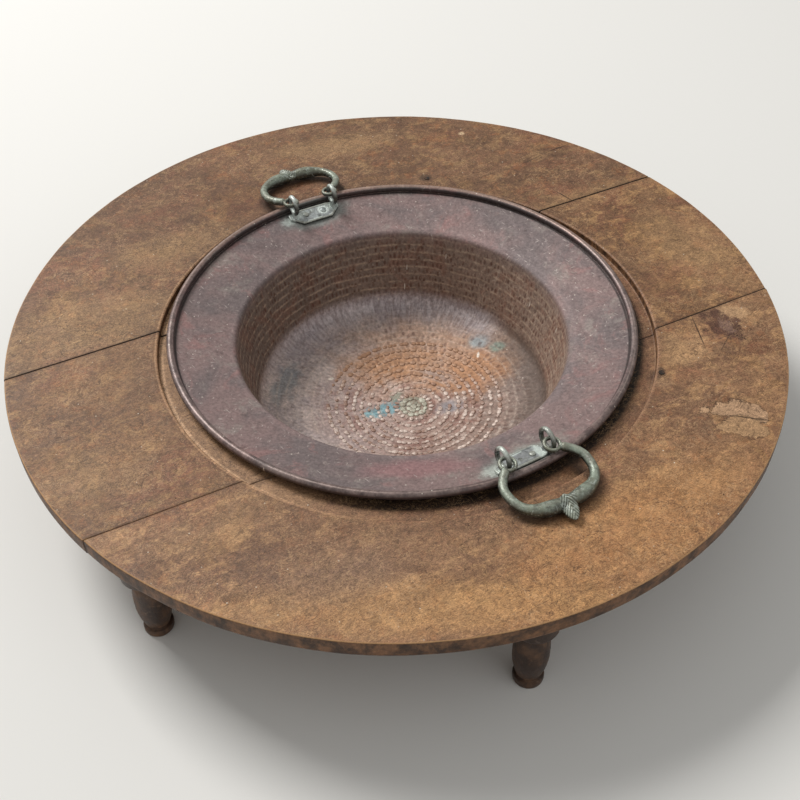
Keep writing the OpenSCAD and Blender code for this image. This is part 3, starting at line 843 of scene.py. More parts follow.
@dataclass(frozen=True)
class AgedBronze:
    """Cast bronze under a green-brown patina, pale with verdigris in its hollows, with painted shade on its
    sides and undersides.
    """

    name: str
    brown: Colour = (110, 114, 102)
    green: Colour = (142, 155, 140)
    verdigris: Colour = (206, 218, 210)
    patches: tuple[Patch, ...] = ()

    def build(self) -> Material:
        """Builds the material.

        Returns:
            The finished material.
        """
        paint = Paint(self.name)
        place, hollow, vein = paint.place, paint.attribute("hollow"), paint.attribute("vein")
        base = Coat(paint, paint.cloud(0.42, 0.6, place, 70.0, 5.0, 0.7, 0.4), self.brown, self.green)
        dark = paint.cloud(0.5, 0.64, place, 110.0, 5.0, 0.74)
        base.over(dark, 0.7, (58, 60, 54))
        crest = paint.step(hollow, 0.46, 0.3)
        base.over(crest, 0.55, (170, 172, 158))
        deep = paint.times(paint.step(hollow, 0.58, 0.8), paint.cloud(0.56, 0.44, place, 60.0, 4.0, 0.7))
        base.over(deep, 0.7, (40, 42, 38))
        bloom = paint.times(paint.step(hollow, 0.54, 0.76), paint.cloud(0.46, 0.56, place, 60.0, 4.0, 0.7))
        base.over(bloom, 0.85, self.verdigris)
        worn = paint.scaled(paint.cloud(0.42, 0.6, place, 150.0, 4.0, 0.7), 0.6, 0.2)
        base.over(paint.step(vein, 0.2, 0.95), worn, self.verdigris)
        base.over(paint.step(vein, -0.1, -0.8), 0.75, (48, 50, 45))
        # Painted shade: faces that look less upward, the sides and undersides, are darkened nearly to black.
        base.over(paint.step(paint.up, 0.82, 0.0), 0.92, (20, 22, 21))
        olive = paint.cloud(0.5, 0.62, place, 48.0, 4.0, 0.66)
        base.over(olive, 0.3, (104, 100, 76))
        chalk = paint.cloud(0.57, 0.66, place, 95.0, 6.0, 0.78, 0.8)
        base.over(chalk, 0.6, self.verdigris)
        for patch in self.patches:
            patch.lay(paint, base)
        flecks = paint.cloud(0.57, 0.68, place, 420.0, 4.0, 0.75)
        base.over(flecks, 0.5, self.verdigris)
        base.shade(1.2, place, 260.0, 3.0, 0.7)
        height = paint.noise(place, 500.0, 4.0, 0.7)
        return paint.finish(base.tint, paint.scaled(bloom, 0.3, 0.32), 0.2, height, 0.0004, 0.6)


@dataclass(frozen=True)
class ForgedIron:
    """Dark forged iron with a little rust."""

    name: str

    def build(self) -> Material:
        """Builds the material.

        Returns:
            The finished material.
        """
        paint = Paint(self.name)
        rust = paint.cloud(0.48, 0.68, paint.place, 260.0, 4.0, 0.7)
        base = paint.mix(rust, (52, 47, 44), (98, 74, 58))
        return paint.finish(base, 0.55, 0.5, paint.noise(paint.place, 700.0, 3.0, 0.7), 0.0004, 0.4)


# ---- Meshes ----


def mesh_object(name: str, points: Array, faces: list[Face], material: Material,
                smooth: bool = True) -> Piece:
    """Makes a mesh object at the origin.

    Args:
        name: Name of the piece.
        points: Its points.
        faces: Its faces, as indices.
        material: Its material.
        smooth: Whether its faces are shaded smooth.

    Returns:
        The object.
    """
    mesh = bpy.data.meshes.new(name)
    mesh.from_pydata([tuple(p) for p in points], [], faces)
    mesh.materials.append(material)
    mesh.polygons.foreach_set("use_smooth", [smooth] * len(mesh.polygons))
    mesh.update()
    piece = bpy.data.objects.new(name, mesh)
    bpy.context.scene.collection.objects.link(piece)
    return piece


def set_attribute(piece: Piece, name: str, values: Array) -> None:
    """Stores one number for each point of a piece."""
    layer = piece.data.attributes.new(name, "FLOAT", "POINT")
    layer.data.foreach_set("value", np.asarray(values, dtype=np.float32))


def arc(centre: Flat, radius: float, start: float, end: float, steps: int) -> list[Array]:
    """Points along an arc in a plane, both ends included.

    Args:
        centre: Centre of the arc.
        radius: Radius.
        start: First angle, in degrees.
        end: Last angle, in degrees.
        steps: Number of steps.

    Returns:
        The points.
    """
    angles = np.radians(np.linspace(start, end, steps + 1))
    return [np.array([centre[0] + radius * cos(a), centre[1] + radius * sin(a)]) for a in angles]


def full_turn(steps: int) -> Array:
    """Directions that share a full turn evenly, in radians."""
    return np.linspace(0, tau, steps, endpoint=False)


def grid_faces(rings: int, sides: int, closed: bool = False) -> list[Face]:
    """Quads between rings that follow each other.

    Args:
        rings: Number of rings.
        sides: Points on each ring.
        closed: Whether the last ring joins the first one.

    Returns:
        The faces.
    """
    faces = []
    for ring in range(rings if closed else rings - 1):
        low, high = ring * sides, (ring + 1) % rings * sides
        for side in range(sides):
            other = (side + 1) % sides
            faces.append((low + side, low + other, high + other, high + side))
    return faces


def waves(x: Array, y: Array, seed: int, length: float, octaves: int = 3) -> Array:
    """Smooth repeatable unevenness between -1 and 1, from a few plane waves.

    Args:
        x: Coordinates.
        y: Coordinates.
        seed: Seed of the directions and phases.
        length: Longest wave length.
        octaves: Number of sets of waves, each half as long.

    Returns:
        The unevenness at each place.
    """
    random = np.random.default_rng(seed)
    total = np.zeros_like(x)
    weight = 0.0
    for octave in range(octaves):
        share = 0.55**octave
        for _ in range(4):
            angle, phase = random.uniform(0, tau, 2)
            turn = tau * 2**octave / length * random.uniform(0.7, 1.3)
            total += share * np.sin(turn * (x * cos(angle) + y * sin(angle)) + phase)
            weight += share
    return total / weight * 1.6


def outward(piece: Piece, merge: bool = True) -> None:
    """Turns a closed piece's faces outwards.

    Args:
        piece: The closed piece.
        merge: Whether its double points are merged first.
    """
    work = bmesh.new()
    work.from_mesh(piece.data)
    if merge:
        bmesh.ops.remove_doubles(work, verts=work.verts, dist=MERGE)
    bmesh.ops.recalc_face_normals(work, faces=work.faces)
    work.to_mesh(piece.data)
    work.free()


def fuse(piece: Piece, voxel: float, rounds: int) -> None:
    """Joins the overlapping shells of a piece into one skin with soft inner corners.

    Args:
        piece: Piece made of closed shells.
        voxel: Size of the new mesh's faces.
        rounds: Rounds of smoothing.
    """
    remesh = piece.modifiers.new("cast", "REMESH")
    remesh.mode = "VOXEL"
    remesh.voxel_size = voxel
    soften = piece.modifiers.new("soften", "SMOOTH")
    soften.factor = 0.5
    soften.iterations = rounds
    settle(piece)
    piece.data.polygons.foreach_set("use_smooth", [True] * len(piece.data.polygons))


def settle(piece: Piece) -> None:
    """Turns a piece with modifiers into a plain mesh.

    Args:
        piece: The piece.
    """
    evaluated = piece.evaluated_get(bpy.context.evaluated_depsgraph_get())
    mesh = bpy.data.meshes.new_from_object(evaluated)
    piece.modifiers.clear()
    piece.data = mesh


def read(items: bpy.types.bpy_prop_collection, name: str, width: int, kind: type = float) -> Array:
    """Reads one property of a mesh's points or edges.

    Args:
        items: The points or edges.
        name: Name of the property.
        width: Numbers that it has for each item.
        kind: Type of the numbers.

    Returns:
        One row for each item.
    """
    values = np.empty(len(items) * width, dtype=kind)
    items.foreach_get(name, values)
    return values.reshape(-1, width)


def mark_hollows(piece: Piece) -> None:
    """Stores how hollow each point lies, 0.5 where flat and more in hollows, as "hollow".

    Args:
        piece: Piece with a dense mesh.
    """
    rounds, gain = 4, 3500.0
    points = read(piece.data.vertices, "co", 3)
    normals = read(piece.data.vertices, "normal", 3)
    edges = read(piece.data.edges, "vertices", 2, int)
    degree = np.maximum(np.bincount(edges.ravel(), minlength=len(points)), 1)

    def averaged(values: Array) -> Array:
        """Returns the mean over the neighbours of each point.

        Args:
            values: A number or a row for each point.

        Returns:
            The means.
        """
        total = np.zeros_like(values)
        np.add.at(total, edges[:, 0], values[edges[:, 1]])
        np.add.at(total, edges[:, 1], values[edges[:, 0]])
        return total / (degree if values.ndim == 1 else degree[:, None])

    smooth = points
    for _ in range(rounds):
        smooth = averaged(smooth)
    depth = ((smooth - points) * normals).sum(axis=1)
    for _ in range(2):
        depth = 0.5 * depth + 0.5 * averaged(depth)
    set_attribute(piece, "hollow", np.clip(0.5 + gain * depth, 0.0, 1.0))


def place_piece(piece: Piece, body: Body, slot: Slot, *nodes: str) -> None:
    """Lets a piece ride on its body and hides the frame nodes that it stands for.

    Args:
        piece: The piece.
        body: Body that it rides on.
        slot: Its material slot; not used.
        nodes: Frame nodes that it stands for.
    """
    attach(piece, body.value)
    if nodes:
        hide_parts(*nodes)
    LOG.info("%s: %d faces on %s", piece.name, len(piece.data.polygons), body.value)


def dress_node(node: str, material: Material) -> None:
    """Gives a frame node a finished material.

    Args:
        node: Name of the node.
        material: Its material.
    """
    node_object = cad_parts[node]
    node_object.data.materials.clear()
    node_object.data.materials.append(material)
    LOG.info("%s: dressed as it is", node)


# ---- Things that repeat, made by Geometry Nodes ----


@dataclass
class StudField:
    """Sets a small oval stud on each point of a mesh, upright and turned as its "aim" and "along" say."""

    name: str
    length: float
    width: float
    height: float
    variation: float = 0.28
    seed: int = 12

    def tree(self) -> tuple[bpy.types.NodeTree, dict[str, str]]:
        """Builds the node tree.

        Returns:
            The tree, and the identifier of each named input.
        """
        tree = bpy.data.node_groups.new(self.name, "GeometryNodeTree")
        face = tree.interface
        face.new_socket("Geometry", in_out="INPUT", socket_type="NodeSocketGeometry")
        named = {}
        for label, kind in (("Length", "Float"), ("Width", "Float"), ("Height", "Float"),
                            ("Variation", "Float"), ("Seed", "Int"), ("Material", "Material")):
            named[label] = face.new_socket(label, in_out="INPUT", socket_type="NodeSocket" + kind).identifier
        face.new_socket("Geometry", in_out="OUTPUT", socket_type="NodeSocketGeometry")
        graph = Graph(tree)
        given = tree.nodes.new("NodeGroupInput").outputs

        dome = graph.node("GeometryNodeMeshUVSphere", "Mesh", {"Segments": 8, "Rings": 5, "Radius": 1.0})
        sizes = graph.node("ShaderNodeCombineXYZ", "Vector", {
            "X": given["Length"], "Y": given["Width"], "Z": given["Height"]})
        stud = graph.node("GeometryNodeTransform", "Geometry", {"Geometry": dome, "Scale": sizes})

        turned = {}
        for axis, pivot, label in (("Z", "AUTO", "aim"), ("X", "Z", "along")):
            way = graph.node("GeometryNodeInputNamedAttribute", "Attribute", {"Name": label},
                             data_type="FLOAT_VECTOR")
            turned["Rotation"] = graph.node("FunctionNodeAlignRotationToVector", "Rotation",
                                            {"Vector": way, **turned}, axis=axis, pivot_axis=pivot)
        low, high = (graph.node("ShaderNodeMath", 0, {0: 1.0, 1: given["Variation"]}, operation=operation)
                     for operation in ("SUBTRACT", "ADD"))
        chance = graph.node("FunctionNodeRandomValue", "Value", {
            "Min": low, "Max": high, "Seed": given["Seed"]}, data_type="FLOAT")

        studs = graph.node("GeometryNodeInstanceOnPoints", "Instances", {
            "Points": given["Geometry"], "Instance": stud, "Scale": chance, **turned})
        studs = graph.node("GeometryNodeRealizeInstances", "Geometry", {"Geometry": studs})
        studs = graph.node("GeometryNodeSetShadeSmooth", "Geometry", {"Geometry": studs})
        studs = graph.node("GeometryNodeSetMaterial", "Geometry", {
            "Geometry": studs, "Material": given["Material"]})
        graph.feed(tree.nodes.new("NodeGroupOutput").inputs["Geometry"], studs)
        return tree, named

    def build(self, places: Array, aims: Array, alongs: Array, material: Material) -> Piece:
        """Makes the studs as one plain mesh.

        Args:
            places: Middle of each stud's base.
            aims: Direction that each stud points in.
            alongs: Direction that each stud is long in.
            material: Material of the studs.

        Returns:
            The piece.
        """
        piece = mesh_object(self.name, places, [], material)
        for label, ways in (("aim", aims), ("along", alongs)):
            layer = piece.data.attributes.new(label, "FLOAT_VECTOR", "POINT")
            layer.data.foreach_set("vector", ways.astype(np.float32).ravel())
        tree, named = self.tree()
        modifier = piece.modifiers.new(self.name, "NODES")
        modifier.node_group = tree
        for label, value in (("Length", self.length), ("Width", self.width), ("Height", self.height),
                             ("Variation", self.variation), ("Seed", self.seed), ("Material", material)):
            modifier[named[label]] = value
        settle(piece)
        return piece


# ---- The wooden stand ----


@dataclass
class Plank:
    """One plank of the round top."""

    node: str
    slip: float
    v_from: float
    v_to: float
    u_from: float
    u_to: float
    seed: int
    sink: float
    finish: OakTop


@dataclass
class WoodenStand:
    """The round top of four planks, its battens, nails and turned feet."""

    planks: list[Plank]
    disc_r: float = 0.4015
    plank_t: float = 0.019
    arris: float = 0.0016
    well_depth: float = 0.008
    well_lip: float = 0.0025
    hole_r: float = 0.215
    hole_ease: float = 0.0008
    edge_wear: float = 0.0005
    sag: float = 0.00022
    ripple: float = 0.00008
    seam_ease: float = 0.0009
    seam_drop: float = 0.0005
    sides: int = 720
    foot_inset: float = 0.035
    foot_angles: tuple[float, ...] = (-71.0, -10.0, 51.5, 110.0, 170.0, 231.5)
    foot_block_r: float = 0.0225
    foot_block_h: float = 0.035
    foot_cove_h: float = 0.014
    foot_neck_r: float = 0.014
    foot_bulb_r: float = 0.017
    foot_bulb_drop: float = 0.028
    foot_ankle_r: float = 0.0118
    foot_toe_r: float = 0.0146
    foot_toe_h: float = 0.009
    foot_wobble: float = 0.012
    foot_ripple: float = 0.006
    foot_sides: int = 64
    tenon_r: float = 0.011
    tenon_l: float = 0.012

    def reach(self, angles: Array, centre: Flat, radius: float) -> Array:
        """Distance from the hole's centre to a circle, along each direction.

        Args:
            angles: Directions, in radians.
            centre: Centre of the circle.
            radius: Radius of the circle.

        Returns:
            The distances.
        """
        dx, dy = centre[0] - PAN_CENTRE[0], centre[1] - PAN_CENTRE[1]
        along = dx * np.cos(angles) + dy * np.sin(angles)
        return along + np.sqrt(radius**2 - (dx**2 + dy**2 - along**2))

    def profile(self) -> list[tuple[str, float, float, float]]:
        """Lists the board's rings from the hole outwards and back underneath.

        Returns:
            For each ring the circles it lies between, its share, its offset and its height.
        """
        bottom, floor, ease = TOP_Z - self.plank_t, TOP_Z - self.well_depth, self.hole_ease
        rings = [("hole", 0.0, 0.0, bottom), ("hole", 0.0, 0.0, floor - ease), ("hole", 0.0, ease, floor)]
        rings += [("floor", share, 0.0, floor) for share in np.linspace(0.12, 0.96, 7)]
        rings += [("well", 0.0, -ease, floor), ("well", 0.0, 0.0, floor + ease)]
        lip = arc((self.well_lip, TOP_Z - self.well_lip), self.well_lip, 180, 90, 5)
        rings += [("well", 0.0, p[0], p[1]) for p in lip]
        rings += [("top", share, 0.0, TOP_Z) for share in np.linspace(0.03, 0.985, 46)]
        edge = arc((-self.arris, TOP_Z - self.arris), self.arris, 90, 0, 4)
        rings += [("disc", 0.0, p[0], p[1]) for p in edge]
        rings += [("disc", 0.0, 0.0, bottom + share * self.plank_t) for share in (0.66, 0.4, 0.14)]
        rings += [("disc", 0.0, -0.0004, bottom + 0.0006), ("disc", 0.0, -0.001, bottom)]
        rings += [("under", share, 0.0, bottom) for share in np.linspace(0.9, 0.1, 7)]
        return rings

    def board(self, plank: Plank) -> Piece:
        """Builds the whole round as the plank's wood would have it, before it is cut.

        Args:
            plank: Plank whose slip and wear are used.

        Returns:
            The round board.
        """
        turn = radians(GRAIN)
        centre = (plank.slip * cos(turn), plank.slip * sin(turn))
        angles = full_turn(self.sides)
        hole = np.full(self.sides, self.hole_r)
        well = self.reach(angles, WELL_CENTRE, WELL_R)
        disc = self.reach(angles, centre, self.disc_r)
        worn = self.edge_wear * (1 + waves(np.cos(angles), np.sin(angles), plank.seed + 7, 0.35)) / 2
        rows = []
        for zone, share, offset, height in self.profile():
            if zone == "hole":
                radius = hole + offset
            elif zone == "floor":
                radius = hole + share * (well - hole)
            elif zone == "well":
                radius = well + offset
            elif zone == "top":
                radius = (well + self.well_lip) * (1 - share) + (disc - self.arris) * share
            elif zone == "disc":
                radius = disc + offset - worn
            else:
                radius = hole + share * (disc - hole)
            x = PAN_CENTRE[0] + radius * np.cos(angles)
            y = PAN_CENTRE[1] + radius * np.sin(angles)
            z = np.full(self.sides, height)
            if height > TOP_Z - self.well_depth - 0.0005:
                broad, fine = waves(x, y, plank.seed, 0.19), waves(x, y, plank.seed + 3, 0.035)
                sag = broad * self.sag + fine * self.ripple
                z += np.minimum(sag - (self.sag + self.ripple), 0.0) - plank.sink
            rows.append(np.stack([x, y, z], axis=1))
        faces = grid_faces(len(rows), self.sides, True)
        return mesh_object(plank.node + "_wood", np.concatenate(rows), faces, plank.finish.build())

    def build_plank(self, plank: Plank) -> None:
        """Cuts one plank out of its board, eases its seam edges and places it.

        Args:
            plank: The plank.
        """
        piece = self.board(plank)
        turn = radians(GRAIN)
        along = Vector((cos(turn), sin(turn), 0))
        across = Vector((-sin(turn), cos(turn), 0))
        work = bmesh.new()
        work.from_mesh(piece.data)
        cuts = ((across, plank.v_from, -1), (across, plank.v_to, 1), (along, plank.u_from, -1),
                (along, plank.u_to, 1))
        for axis, distance, way in cuts:
            if abs(distance) >= self.disc_r:
                continue
            for place, outer in ((distance - way * self.seam_ease, False), (distance, True)):
                everything = work.verts[:] + work.edges[:] + work.faces[:]
                bmesh.ops.bisect_plane(work, geom=everything, plane_co=axis * place, plane_no=axis * way,
                                       dist=MERGE, clear_outer=outer)
            open_edges = [edge for edge in work.edges if edge.is_boundary]
            if open_edges:
                bmesh.ops.holes_fill(work, edges=open_edges, sides=0)
            for vert in work.verts:
                on_cut = abs(vert.co.dot(axis) - distance) < 1e-6
                if on_cut and vert.co.z > TOP_Z - self.well_depth - 0.001:
                    vert.co.z -= self.seam_drop
        bmesh.ops.recalc_face_normals(work, faces=work.faces)
        work.to_mesh(piece.data)
        work.free()
        place_piece(piece, Body.STAND, Slot.OAK, plank.node)

    def foot_profile(self) -> list[Flat]:
        """Outline of a turned foot from the floor up, as radius and height.

        Returns:
            The points.
        """
        plank_z = TOP_Z - self.plank_t
        block_z = plank_z - self.foot_block_h
        neck_z = block_z - self.foot_cove_h - 0.002
        ankle_z = self.foot_toe_h + 0.0025
        bulb_z = neck_z - self.foot_bulb_drop
        points = [(0.0, 0.0), (0.004, 0.0), (self.foot_toe_r - 0.003, 0.0)]
        for round_r, height, start in ((0.0022, 0.0022, -90), (0.0018, self.foot_toe_h - 0.0018, 0)):
            turned = arc((self.foot_toe_r - round_r, height), round_r, start, start + 90, 4)
            points += [tuple(p) for p in turned]
        points += [(self.foot_ankle_r, self.foot_toe_h + 0.0002), (self.foot_ankle_r, ankle_z)]
        low_z = ankle_z + 0.0015
        for share in np.linspace(0, 1, 19):
            z = low_z + (neck_z - low_z) * share
            end = self.foot_ankle_r + 0.0008 if z < bulb_z else self.foot_neck_r + 0.001
            span = bulb_z - low_z if z < bulb_z else neck_z - bulb_z
            points.append((self.foot_bulb_r - (self.foot_bulb_r - end) * (abs(z - bulb_z) / span) ** 2, z))
        for angle in np.radians(np.linspace(0, 90, 9)):
            rise = self.foot_block_r - 0.0015 - self.foot_neck_r
            points.append((self.foot_neck_r + rise * (1 - cos(angle)),
                           neck_z + 0.002 + self.foot_cove_h * sin(angle)))
        points += [(self.foot_block_r - 0.0002, block_z + 0.0012), (self.foot_block_r, block_z + 0.0028)]
        points += [(self.foot_block_r, block_z + share * self.foot_block_h) for share in (0.35, 0.6)]
        points += [tuple(p) for p in arc((self.foot_block_r - 0.001, plank_z - 0.001), 0.001, 0, 90, 3)]
        points += [(self.tenon_r, plank_z), (self.tenon_r, plank_z + self.tenon_l - 0.001),
                   (self.tenon_r - 0.001, plank_z + self.tenon_l), (0.0, plank_z + self.tenon_l)]
        return points

    def build_foot(self, number: int, material: Material) -> None:
        """Turns one foot, a little uneven as handwork is, and places it.

        Args:
            number: Number of the foot, from 0.
            material: Its wood.
        """
        outline, sides = self.foot_profile(), self.foot_sides
        angle = radians(self.foot_angles[number])
        distance = self.disc_r - self.foot_inset
        x0, y0 = distance * cos(angle), distance * sin(angle)
        turns = full_turn(sides)
        rows = []
        for radius, z in outline[1:-1]:
            wobble = (1 + self.foot_wobble * np.sin(turns * 2 + number)
                      + self.foot_ripple * sin(z * 900 + number * 2))
            grow = np.minimum(radius * wobble, radius)
            rows.append(np.stack([x0 + grow * np.cos(turns), y0 + grow * np.sin(turns),
                                  np.full(sides, z)], axis=1))
        points = np.concatenate(rows + [[(x0, y0, outline[0][1])], [(x0, y0, outline[-1][1])]])
        faces = grid_faces(len(rows), sides)
        sole, top = len(rows) * sides, len(rows) * sides + 1
        last = (len(rows) - 1) * sides
        for side in range(sides):
            other = (side + 1) % sides
            faces.append((sole, other, side))
            faces.append((top, last + side, last + other))
        node = f"foot_{number + 1}"
        piece = mesh_object(node + "_turned", points, faces, material)
        outward(piece)
        place_piece(piece, Body.STAND, Slot.DARK_OAK, node)

    def build(self) -> None:
        """Builds the whole stand."""
        for plank in self.planks:
            self.build_plank(plank)
        dark = DarkOak("dark_stained_oak").build()
        for number in range(len(self.foot_angles)):
            self.build_foot(number, dark)
        for node in ("batten_left", "batten_right"):
            dress_node(node, dark)
        iron = ForgedIron("forged_iron_nails").build()
        for node in ("nails_left", "nails_right", "top_nails"):
            dress_node(node, iron)


# ---- The copper pan ----


@dataclass
class CopperPan:
    """The raised pan with its punched wall and floor and its rolled edge."""

    sheet: float = 0.0012
    well_z: float = 0.132
    seat_gap: float = 0.0003
    hole_r: float = 0.215
    mouth_r: float = 0.176
    mouth_round: float = 0.006
    bead_ring_r: float = 0.2404
    bead_mid_r: float = 0.0034
    bead_end: float = 215.0
    flange_slope: float = 12.2
    wall_lean: float = 12.0
    knuckle_r: float = 0.015
    knuckle_rise: float = 0.036
    under_bowl: float = 0.0099
    sides: int = 600
    wall_rows: int = 10
    wall_marks: int = 160
    wall_row_pitch: float = 0.0093
    mark_depth: float = 0.0006
    rim_lift: float = 0.0007
    dot_rings: tuple[float, ...] = (0.0302, 0.041, 0.0505, 0.059, 0.0675, 0.077, 0.087, 0.0965)
    dot_pitch: float = 0.0066
    dot_lift: float = 0.0002
    boss_rings: tuple[tuple[float, int], ...] = ((0.0, 1), (0.0062, 6), (0.0128, 12))
    crown_ring: float = 0.0196
    crown_count: int = 22
    faint_rings: tuple[float, ...] = (0.107, 0.1175, 0.128, 0.1385)

    def flange_z(self, radius: float) -> float:
        """Height of the flange's middle at a radius.

        Args:
            radius: Distance from the pan's axis.

        Returns:
            The height.
        """
        slope = radians(self.flange_slope)
        seat = self.well_z + self.seat_gap + self.sheet / 2 / cos(slope)
        return seat + (radius - self.hole_r) * tan(slope)

    def middle_line(self) -> list[LinePoint]:
        """Middle line of the sheet from the floor's centre to the rolled end.

        Returns:
            Points as radius and height, each with its outer side's direction and its zone.
        """
        lean, slope = radians(self.wall_lean), radians(self.flange_slope)
        mouth_z, floor_z = self.flange_z(self.mouth_r), self.under_bowl + self.sheet / 2
        half_turn = (pi / 2 + lean + slope) / 2
        aim = -pi / 2 - lean + half_turn
        reach = self.mouth_round / sin(half_turn)
        mouth = (self.mouth_r + reach * cos(aim), mouth_z + reach * sin(aim))
        knuckle_z = floor_z + self.knuckle_rise
        foot_z = knuckle_z - self.knuckle_r * sin(lean)
        foot_r = self.mouth_r - (mouth_z - foot_z) * tan(lean)
        knuckle = (foot_r - self.knuckle_r * cos(lean), knuckle_z)
        low = floor_z + self.knuckle_r
        dish_z = (low**2 - knuckle_z**2 - knuckle[0] ** 2) / (2 * (low - knuckle_z))
        dish_r = dish_z - floor_z
        dish_edge = degrees(atan2(knuckle_z - dish_z, knuckle[0]))
        bead_z = (self.flange_z(self.bead_ring_r + self.bead_mid_r * sin(slope))
                  + self.bead_mid_r * cos(slope))

        def run(centre: Flat, radius: float, start: float, end: float, steps: int,
                side: int, zone: str) -> list[LinePoint]:
            """Points of one arc with their outer directions and zone."""
            middle = np.array(centre)
            return [(p, side * (p - middle) / radius, zone) for p in arc(centre, radius, start, end, steps)]

        line = run((0.0, dish_z), dish_r, -89.95, dish_edge, 26, 1, "floor")
        line += run(knuckle, self.knuckle_r, dish_edge, -self.wall_lean, 9, 1, "knuckle")[1:]
        lip = run(mouth, self.mouth_round, 180 - self.wall_lean, 90 + self.flange_slope, 6, -1, "mouth")
        start, end = line[-1], lip[0]
        for share in np.linspace(0, 1, 50)[1:-1]:
            line.append((start[0] * (1 - share) + end[0] * share, start[1], "wall"))
        line += lip
        bead = run((self.bead_ring_r, bead_z), self.bead_mid_r, self.flange_slope - 90, self.bead_end, 18,
                   1, "bead")
        start, end = line[-1], bead[0]
        for share in np.linspace(0, 1, 9)[1:-1]:
            line.append((start[0] * (1 - share) + end[0] * share, end[1], "flange"))
        return line + bead

    def punched(self, angles: Array, arc_length: float) -> Array:
        """Depth of the wall's punch marks, 0 to 1, around one ring.

        Args:
            angles: Directions round the pan, in radians.
            arc_length: Distance of the ring under the mouth, along the wall.

        Returns:
            The depth share at each direction.
        """
        row = arc_length / self.wall_row_pitch
        index = int(floor(row))
        if index < 0 or index >= self.wall_rows:
            return np.zeros_like(angles)
        random = np.random.default_rng(400 + index)
        count = self.wall_marks
        column = angles / tau * count + 0.5 * (index % 2) + 0.6 * np.sin(angles * 3 + index)
        cell = np.floor(column).astype(int) % count
        jitter = random.uniform(-0.16, 0.16, count)[cell]
        lift = random.uniform(-0.14, 0.14, count)[cell]
        strength = random.uniform(0.35, 1.0, count)[cell]
        across = (column - np.floor(column) - 0.5 + jitter) / 0.3
        down = (row - index - 0.5 + lift) / 0.3
        return strength * np.exp(-(across**2) - down**2)

    def faint_marks(self, x: Array, y: Array) -> Array:
        """Depth of the shallow marks on the outer floor, 0 to 1.

        Args:
            x: Coordinates.
            y: Coordinates.

        Returns:
            The depth share at each place.
        """
        dx, dy = x - RINGS_CENTRE[0], y - RINGS_CENTRE[1]
        radius, angle = np.hypot(dx, dy), np.arctan2(dy, dx)
        total = np.zeros_like(x)
        for index, ring in enumerate(self.faint_rings):
            count = int(tau * ring / self.dot_pitch)
            random = np.random.default_rng(70 + index)
            column = angle / tau * count
            cell = np.floor(column).astype(int) % count
            strength = random.uniform(0.2, 1.0, count)[cell]
            across = (column - np.floor(column) - 0.5) / 0.32
            total = np.maximum(total, strength * np.exp(-(across**2) - ((radius - ring) / 0.0028) ** 2))
        return total

    def build(self) -> None:
        """Builds the pan's sheet and its punched dots, and places them."""
        line = self.middle_line()
        angles = full_turn(self.sides)
        still = np.ones(self.sides)
        for azimuth in (FRONT_AZIMUTH, BACK_AZIMUTH):
            away = np.degrees(np.abs((angles - radians(azimuth) + pi) % tau - pi))
            still = np.minimum(still, np.clip((away - 11) / 14, 0, 1))
        lift = self.rim_lift * still * (1 + waves(np.cos(angles) * 0.2, np.sin(angles) * 0.2, 11, 0.3, 2)) / 2
        wall = [point for point, _, zone in line if zone == "wall"]
        top = wall[-1]
        rows, marks = [], []

        def add_row(point: Array, normal: Array, zone: str, side: int) -> None:
            """Adds one ring of the skin, inner (side -1) or outer (side 1).

            Args:
                point: Radius and height on the middle line.
                normal: Direction of the outer side.
                zone: Part of the pan.
                side: Skin that the ring belongs to.
            """
            base = point + side * normal * self.sheet / 2
            x = PAN_CENTRE[0] + base[0] * np.cos(angles)
            y = PAN_CENTRE[1] + base[0] * np.sin(angles)
            mark = np.zeros(self.sides)
            push = np.zeros(self.sides)
            if side < 0 and zone == "wall":
                distance = float(np.linalg.norm(top - point))
                mark = self.punched(angles, distance)
                push = mark * self.mark_depth
            elif side < 0 and zone == "floor":
                mark = self.faint_marks(x, y)
                push = mark * self.mark_depth * 0.6
                mark = mark * 0.8
            elif side > 0 and zone in ("wall", "knuckle", "floor"):
                push = 0.00025 * waves(angles * 0.17, np.full(self.sides, base[1]), 31, 0.03, 2) - 0.00015
                push = push * min(1.0, base[0] / 0.04)
            rise = lift * np.clip((base[0] - self.mouth_r) / 0.06, 0, 1) if zone in ("flange", "bead") else 0
            radius = base[0] + push * normal[0]
            x = PAN_CENTRE[0] + radius * np.cos(angles)
            y = PAN_CENTRE[1] + radius * np.sin(angles)
            rows.append(np.stack([x, y, base[1] + push * normal[1] + rise], axis=1))
            marks.append(mark)

        for point, normal, zone in line:
            add_row(point, normal, zone, -1)
        outer = [entry for index, entry in enumerate(line)
                 if entry[2] == "bead" or index % 4 == 0 or index == len(line) - 1]
        for point, normal, zone in reversed(outer):
            add_row(point, normal, zone, 1)
        points = np.concatenate(rows)
        faces = grid_faces(len(rows), self.sides)
        last = (len(rows) - 1) * self.sides
        faces.append(tuple(range(self.sides)))
        faces.append(tuple(last + side for side in reversed(range(self.sides))))
        copper = HammeredCopper("heat_stained_copper", self.mouth_r,
                                self.bead_ring_r + self.bead_mid_r + self.sheet / 2, self.under_bowl,
                                self.wall_row_pitch * cos(radians(self.wall_lean))).build()
        piece = mesh_object("pan_sheet", points, faces, copper)
        set_attribute(piece, "mark", np.concatenate(marks))
        outward(piece, False)
        place_piece(piece, Body.PAN, Slot.COPPER, "pan")
        self.build_dots(line)

